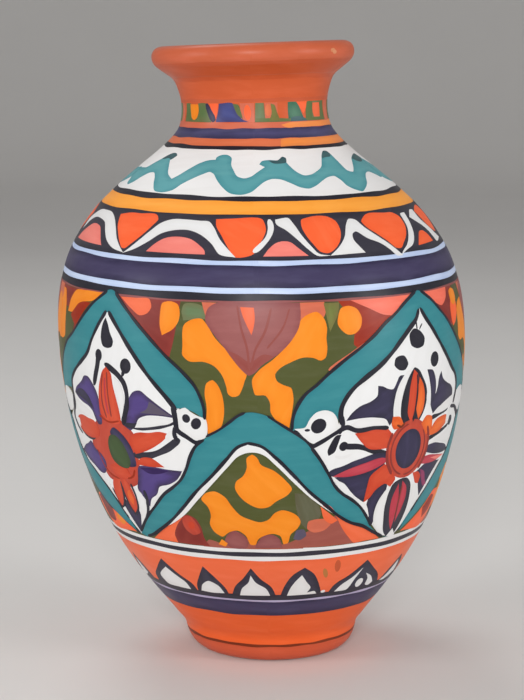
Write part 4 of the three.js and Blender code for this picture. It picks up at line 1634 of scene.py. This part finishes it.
# The teal wave in front, and the shade on its crests.
WAVE = [
    fill(
        "wave_teal",
        (-78, 244), (-74.8, 244.3), (-68.9, 244.9), (-65.4, 247.2), (-61.9, 249.3), (-58.9, 251.1),
        (-55.4, 252.1), (-51.9, 251.9), (-50.4, 251.1), (-53, 249), (-49.5, 246.4), (-45.4, 243.1),
        (-41, 241.1), (-38.9, 242.5), (-34.8, 245.8), (-30.7, 248.4), (-26, 249.9), (-22.2, 250.2),
        (-22.2, 251.1), (-20.1, 252.2), (-15.4, 252.2), (-13.4, 251.1), (-12.8, 248.4), (-10.7, 245.5),
        (-8.4, 243.1), (-5.4, 242.4), (-2.5, 243.1), (0.9, 245.2), (4.5, 247.2), (1.8, 248.4), (3.3, 249.7),
        (6.8, 250.2), (12.1, 250.1), (15.1, 251.4), (16.5, 251.1), (16.2, 249.3), (17.4, 247.5),
        (19.8, 244.9), (22.7, 243.4), (26.2, 243.6), (30.4, 244.9), (34.5, 246.6), (38, 249.6),
        (40.9, 251.9), (43.9, 253.2), (46.2, 253.2), (47.7, 251.9), (48.6, 249), (49.8, 244.3),
        (52.7, 243.6), (55.6, 244.9), (59.8, 247.2), (64.5, 249.3), (69.8, 250.2), (75.6, 250.5),
        (79, 248.6), (78, 240), (74.5, 239.6), (70.9, 241.4), (66.8, 242.8), (62.7, 242.5), (59.2, 241.1),
        (55.1, 238.4), (50.9, 236.4), (47.4, 235.2), (43.9, 236.4), (41.5, 238.1), (40.4, 240.8),
        (38.6, 242.5), (34.5, 242.2), (30.4, 240.8), (25.6, 238.7), (22.1, 237.7), (18.6, 238.4),
        (15.1, 240.2), (10.9, 241.9), (6.8, 242.1), (3.3, 240.8), (0.9, 239), (-2.5, 236.4), (-6, 235.4),
        (-10.1, 235.8), (-14.2, 238.4), (-17.8, 241.6), (-20.7, 244.3), (-22.5, 244.9), (-26, 243.7),
        (-30.1, 241.6), (-33.6, 239.3), (-36.6, 236.4), (-40.1, 235.3), (-45.4, 235.5), (-49.5, 238.4),
        (-53, 241.4), (-56.6, 243.1), (-60.1, 242.8), (-63.6, 240.8), (-67.2, 237.8), (-70.1, 236.6),
        (-72.5, 237.2), (-74.8, 239), (-78, 240.6),
    ),
    fill(
        "wave_shade",
        (-62, 249.2), (-58.9, 251.1), (-55.4, 252.2), (-51.9, 252), (-50.2, 251.1), (-52.8, 249.2),
        (-55.6, 249.8), (-59, 249.2),
    ),
    fill(
        "wave_shade",
        (6.8, 250), (12.1, 250.1), (15.1, 251.5), (16.6, 251.1), (16.1, 249), (13, 248.6), (9, 248.8),
    ),
    fill(
        "wave_shade",
        (39, 250.2), (41, 251.9), (43.9, 253.3), (46.3, 253.2), (47.7, 251.7), (46, 250.8), (42.6, 250.6),
    ),
    fill("wave_shade", (64, 249), (69.8, 250.3), (75.6, 250.6), (79, 248.6), (75, 247.4), (68, 247.4)),
]

# The wave behind: its span in degrees, its peaks, and the heights of each edge at peaks and troughs.
WAVE_START, WAVE_STOP = 78, 282
WAVE_PEAKS = 6
WAVE_UPPER, WAVE_LOWER = (250.6, 243), (243, 236)
WAVE_SLIP = 1.5  # a peak is moved by at most this many degrees
UPPER_SLIP, LOWER_SLIP = 0.8, 0.6  # and millimetres


def back_wave():
    """The wave carried on round the back: peaks and troughs that are each a little different."""
    upper, lower = [], []
    for k in range(2 * WAVE_PEAKS + 1):
        turn = WAVE_START + (WAVE_STOP - WAVE_START) * k / (2 * WAVE_PEAKS)
        for edge, heights, slip in ((upper, WAVE_UPPER, UPPER_SLIP), (lower, WAVE_LOWER, LOWER_SLIP)):
            place = turn + random.uniform(-WAVE_SLIP, WAVE_SLIP)
            edge.append((place, heights[k % 2] + random.uniform(-slip, slip)))
    # Its ends meet the ends of the wave in front.
    upper[0], upper[-1] = (WAVE_START - 1, 248.9), (WAVE_STOP + 1, 244.4)
    lower[0], lower[-1] = (WAVE_START - 1, 239.9), (WAVE_STOP + 1, 240.3)
    return [fill("wave_teal", *upper, *reversed(lower))]


def paint_shoulder():
    draw("arcs", ARCS)
    draw("arcs", ARCS, shift=181.8, centre=2, stretch=1.14)
    draw("wave", WAVE)
    draw("wave", back_wave())


# --------------------------------------------------------------------------- the neck's row of dabs

LEVEL_STEP = 8


def level(height, start, stop):
    """Points at one height, from one turn towards another."""
    return [(turn, height) for turn in range(start, stop, LEVEL_STEP if stop > start else -LEVEL_STEP)]


DAB_ROW_LOW, DAB_ROW_HIGH = 267, 276
DAB_ROW = [  # paint, left and right at the bottom, left and right at the top
    ("sage", -90, -77, -90, -76),
    ("neck_coral", -76, -70, -75, -69),
    ("moss", -67.6, -48, -66, -59),
    ("moss", -52, -34.6, -48.4, -39.6),
    ("neck_coral", -10, 0, -11, 0),
    ("sage", 0.2, 8.4, 0.8, 7.4),
    ("neck_coral", 8.2, 18, 8, 18),
    ("deep_green", 26.6, 42, 26.6, 33.4),
    ("moss", 42.4, 52, 45.6, 50.6),
    ("sage", 50, 62, 51, 61.4),
    ("moss", 61.6, 68, 62, 66.8),
    ("neck_coral", 69, 77, 69, 76),
    ("moss", 79, 90, 80, 88),
]

# Two amber patches, the row of dabs, and the dabs laid over it.
NECK_DABS = [
    fill("neck_amber", (16, 255.9), (18, 259.2), *level(259.5, 24, 90), *level(256.1, 88, 22)),
    fill("neck_amber", (20, 265.6), *level(266.7, 28, 90), *level(264.3, 88, 22)),
    *[
        fill(colour, (a, DAB_ROW_LOW), (b, DAB_ROW_LOW), (d, DAB_ROW_HIGH), (c, DAB_ROW_HIGH))
        for colour, a, b, c, d in DAB_ROW
    ],
    fill(
        "blue",
        (-27.8, 276), (-16.6, 276), (-13, 272), (-9.4, 268.6), (-4.4, 267.2), (-30.8, 267.2), (-29, 272),
    ),
    fill("vermilion", (-37, 276), (-28.6, 276), (-29.6, 271.6), (-31, 268.6), (-33.2, 270.4)),
    fill("moss", (-16.6, 275.8), (-12.4, 275.4), (-10, 271.6), (-8.8, 268.6), (-12.6, 270.4)),
    fill(
        "moss",
        (0.4, 268.8), (12, 268.8), (14, 268.8), (28, 268.4), (68, 268.4), (68, 267), (28, 267), (0.4, 267),
    ),
    fill("olive_green", (12.6, 275.6), (15.4, 275), (17.4, 271.6), (19.8, 267.6), (11, 267.6), (13.2, 271)),
    fill("vermilion", (34.4, 276), (44.6, 276), (43.4, 272.6), (41, 270.4), (38.2, 272.6)),
    line("navy", 3.0, (-39.6, 276), (-36.4, 271.6), (-32, 267.4)),
    fill(
        "amber",
        (-59, 275.6), (-48.4, 275.6), (-48.6, 271.6), (-51, 268.6), (-53.8, 267.9), (-57, 269),
        (-58.8, 272),
    ),
    dab("vermilion", -5.2, 271.6, 2.6, 3.6),
    dab("neck_tan", 10.6, 272.6, 2.2, 2.9),
    fill(
        "leaf_orange",
        (51.4, 275.2), (60.8, 275.2), (61.2, 271.6), (60.4, 268.6), (52.2, 268.6), (51.2, 271.6),
    ),
    fill("wave_shade", (28, 267), (44, 267), (40, 268.8), (36, 269.2), (29, 268.6)),
]

NECK_RINGS = [  # paint, bottom, top, lift
    ("neck_shade", 276.5, 278.1, RING_COAT),
    ("neck_orange", 286.8, 294.4, RING_COAT),
    # painted shade: a darker ring just under the rim's roll, where the roll shades the neck
    ("neck_shade", 294, 295.6, RING_COAT + RING_LAP),
]


def paint_neck():
    for ring in NECK_RINGS:
        add_ring("neck", *ring)
    draw("neck", NECK_DABS)
    draw("neck", NECK_DABS, shift=180, centre=-1, stretch=0.98)
    draw("rim", [dab("sand", 50.5, 299.4, 2, 1), dab("sand", 52, 298.6, 1.6, 1)])


# ---------------------------------------------------------------------------- pieces, light, camera


def make_pieces():
    """Joins the skins of each area and paint into named pieces."""
    for (area, colour), skin in skins.items():
        places, brush, depth = [np.concatenate(part) for part in (skin.places, skin.brush, skin.depth)]
        name = f"{area}_{colour}"
        piece = make_object(name, places, skin.faces, brush, depth, [paint(colour)], sharp=skin.sharp)


LIGHTS = [  # name, place in metres, width in metres, power in watts
    ("front", (-0.1, -2.6, 0.9), 0.8, 12.0),
    ("left", (-2.2, -0.9, 0.66), 1.0, 6.4),
    ("right", (2.2, -1.0, 0.6), 1.0, 7.3),
    ("back", (-0.5, 1.1, 2.0), 1.0, 3.6),
]
LIGHT_AIM = Vector((0, 0, 0.15))
LIGHT_SPREAD = math.radians(100)
WORLD_COLOUR = (236, 236, 238)
WORLD_STRENGTH = 0.42

# The studio floor, in metres: the radius of its flat, of the bend at its edge, and the height of its wall.
STUDIO_FLAT, STUDIO_BEND, STUDIO_WALL = 2.7, 1.0, 2.8
STUDIO_SIDES = 96
STUDIO_CENTRE = 0.02
FLAT_ROWS, BEND_ROWS = 12, 14
BEND_START = 0.1  # the bend's first row, in radians

CAMERA_PLACE = Vector((0.00015, -1.0963, 0.3271))
CAMERA_AIM = Vector((0.00015, 0, 0.1511))
CAMERA_LENS = 113.35
SENSOR_WIDTH = 36


def stand(name, data, place, aim):
    """An object of the data, stood at a place in the scene and turned to look at another."""
    holder = bpy.data.objects.new(name, data)
    holder.location = place
    holder.rotation_euler = (aim - Vector(place)).to_track_quat("-Z", "Y").to_euler()
    bpy.context.scene.collection.objects.link(holder)
    return holder


def make_light(name, place, width, power):
    light = bpy.data.lights.new(name, "AREA")
    light.shape = "DISK"
    light.size = width
    light.energy = power
    light.spread = LIGHT_SPREAD
    stand(name, light, place, LIGHT_AIM).visible_camera = False


def make_floor():
    """A round studio floor that curves up into a pale wall all round."""
    outline = [(radius, 0) for radius in np.linspace(STUDIO_CENTRE, STUDIO_FLAT, FLAT_ROWS)]
    for angle in np.linspace(BEND_START, math.pi / 2, BEND_ROWS):
        outline.append((STUDIO_FLAT + STUDIO_BEND * math.sin(angle), STUDIO_BEND * (1 - math.cos(angle))))
    outline.append((STUDIO_FLAT + STUDIO_BEND, STUDIO_WALL))
    turns = np.linspace(0, 2 * math.pi, STUDIO_SIDES, endpoint=False)
    places = [(r * math.cos(t), r * math.sin(t), z - FLOOR_GAP) for r, z in outline for t in turns]
    faces = [tuple(range(STUDIO_SIDES))]
    for row in range(len(outline) - 1):
        faces += [quad(row, row + 1, k, STUDIO_SIDES)[::-1] for k in range(STUDIO_SIDES)]
    mesh = bpy.data.meshes.new("studio_floor")
    mesh.from_pydata(places, [], faces)
    mesh.polygons.foreach_set("use_smooth", np.ones(len(faces), bool))
    mesh.materials.append(pale_floor())
    floor = bpy.data.objects.new("studio_floor", mesh)
    bpy.context.scene.collection.objects.link(floor)


def make_studio():
    make_floor()
    for light in LIGHTS:
        make_light(*light)
    world = bpy.data.worlds.new("studio")
    world.use_nodes = True
    background = world.node_tree.nodes["Background"]
    background.inputs["Color"].default_value = linear(WORLD_COLOUR)
    background.inputs["Strength"].default_value = WORLD_STRENGTH
    bpy.context.scene.world = world
    bpy.context.scene.view_settings.view_transform = "Standard"


def make_camera():
    camera = bpy.data.cameras.new("camera")
    camera.lens = CAMERA_LENS
    camera.sensor_width = SENSOR_WIDTH
    bpy.context.scene.camera = stand("camera", camera, CAMERA_PLACE, CAMERA_AIM)


random.seed(SEED)
make_foot()
make_walls()
make_neck()
paint_rings()
paint_leaves()
paint_belt()
paint_shoulder()
paint_neck()
make_pieces()
make_studio()
make_camera()
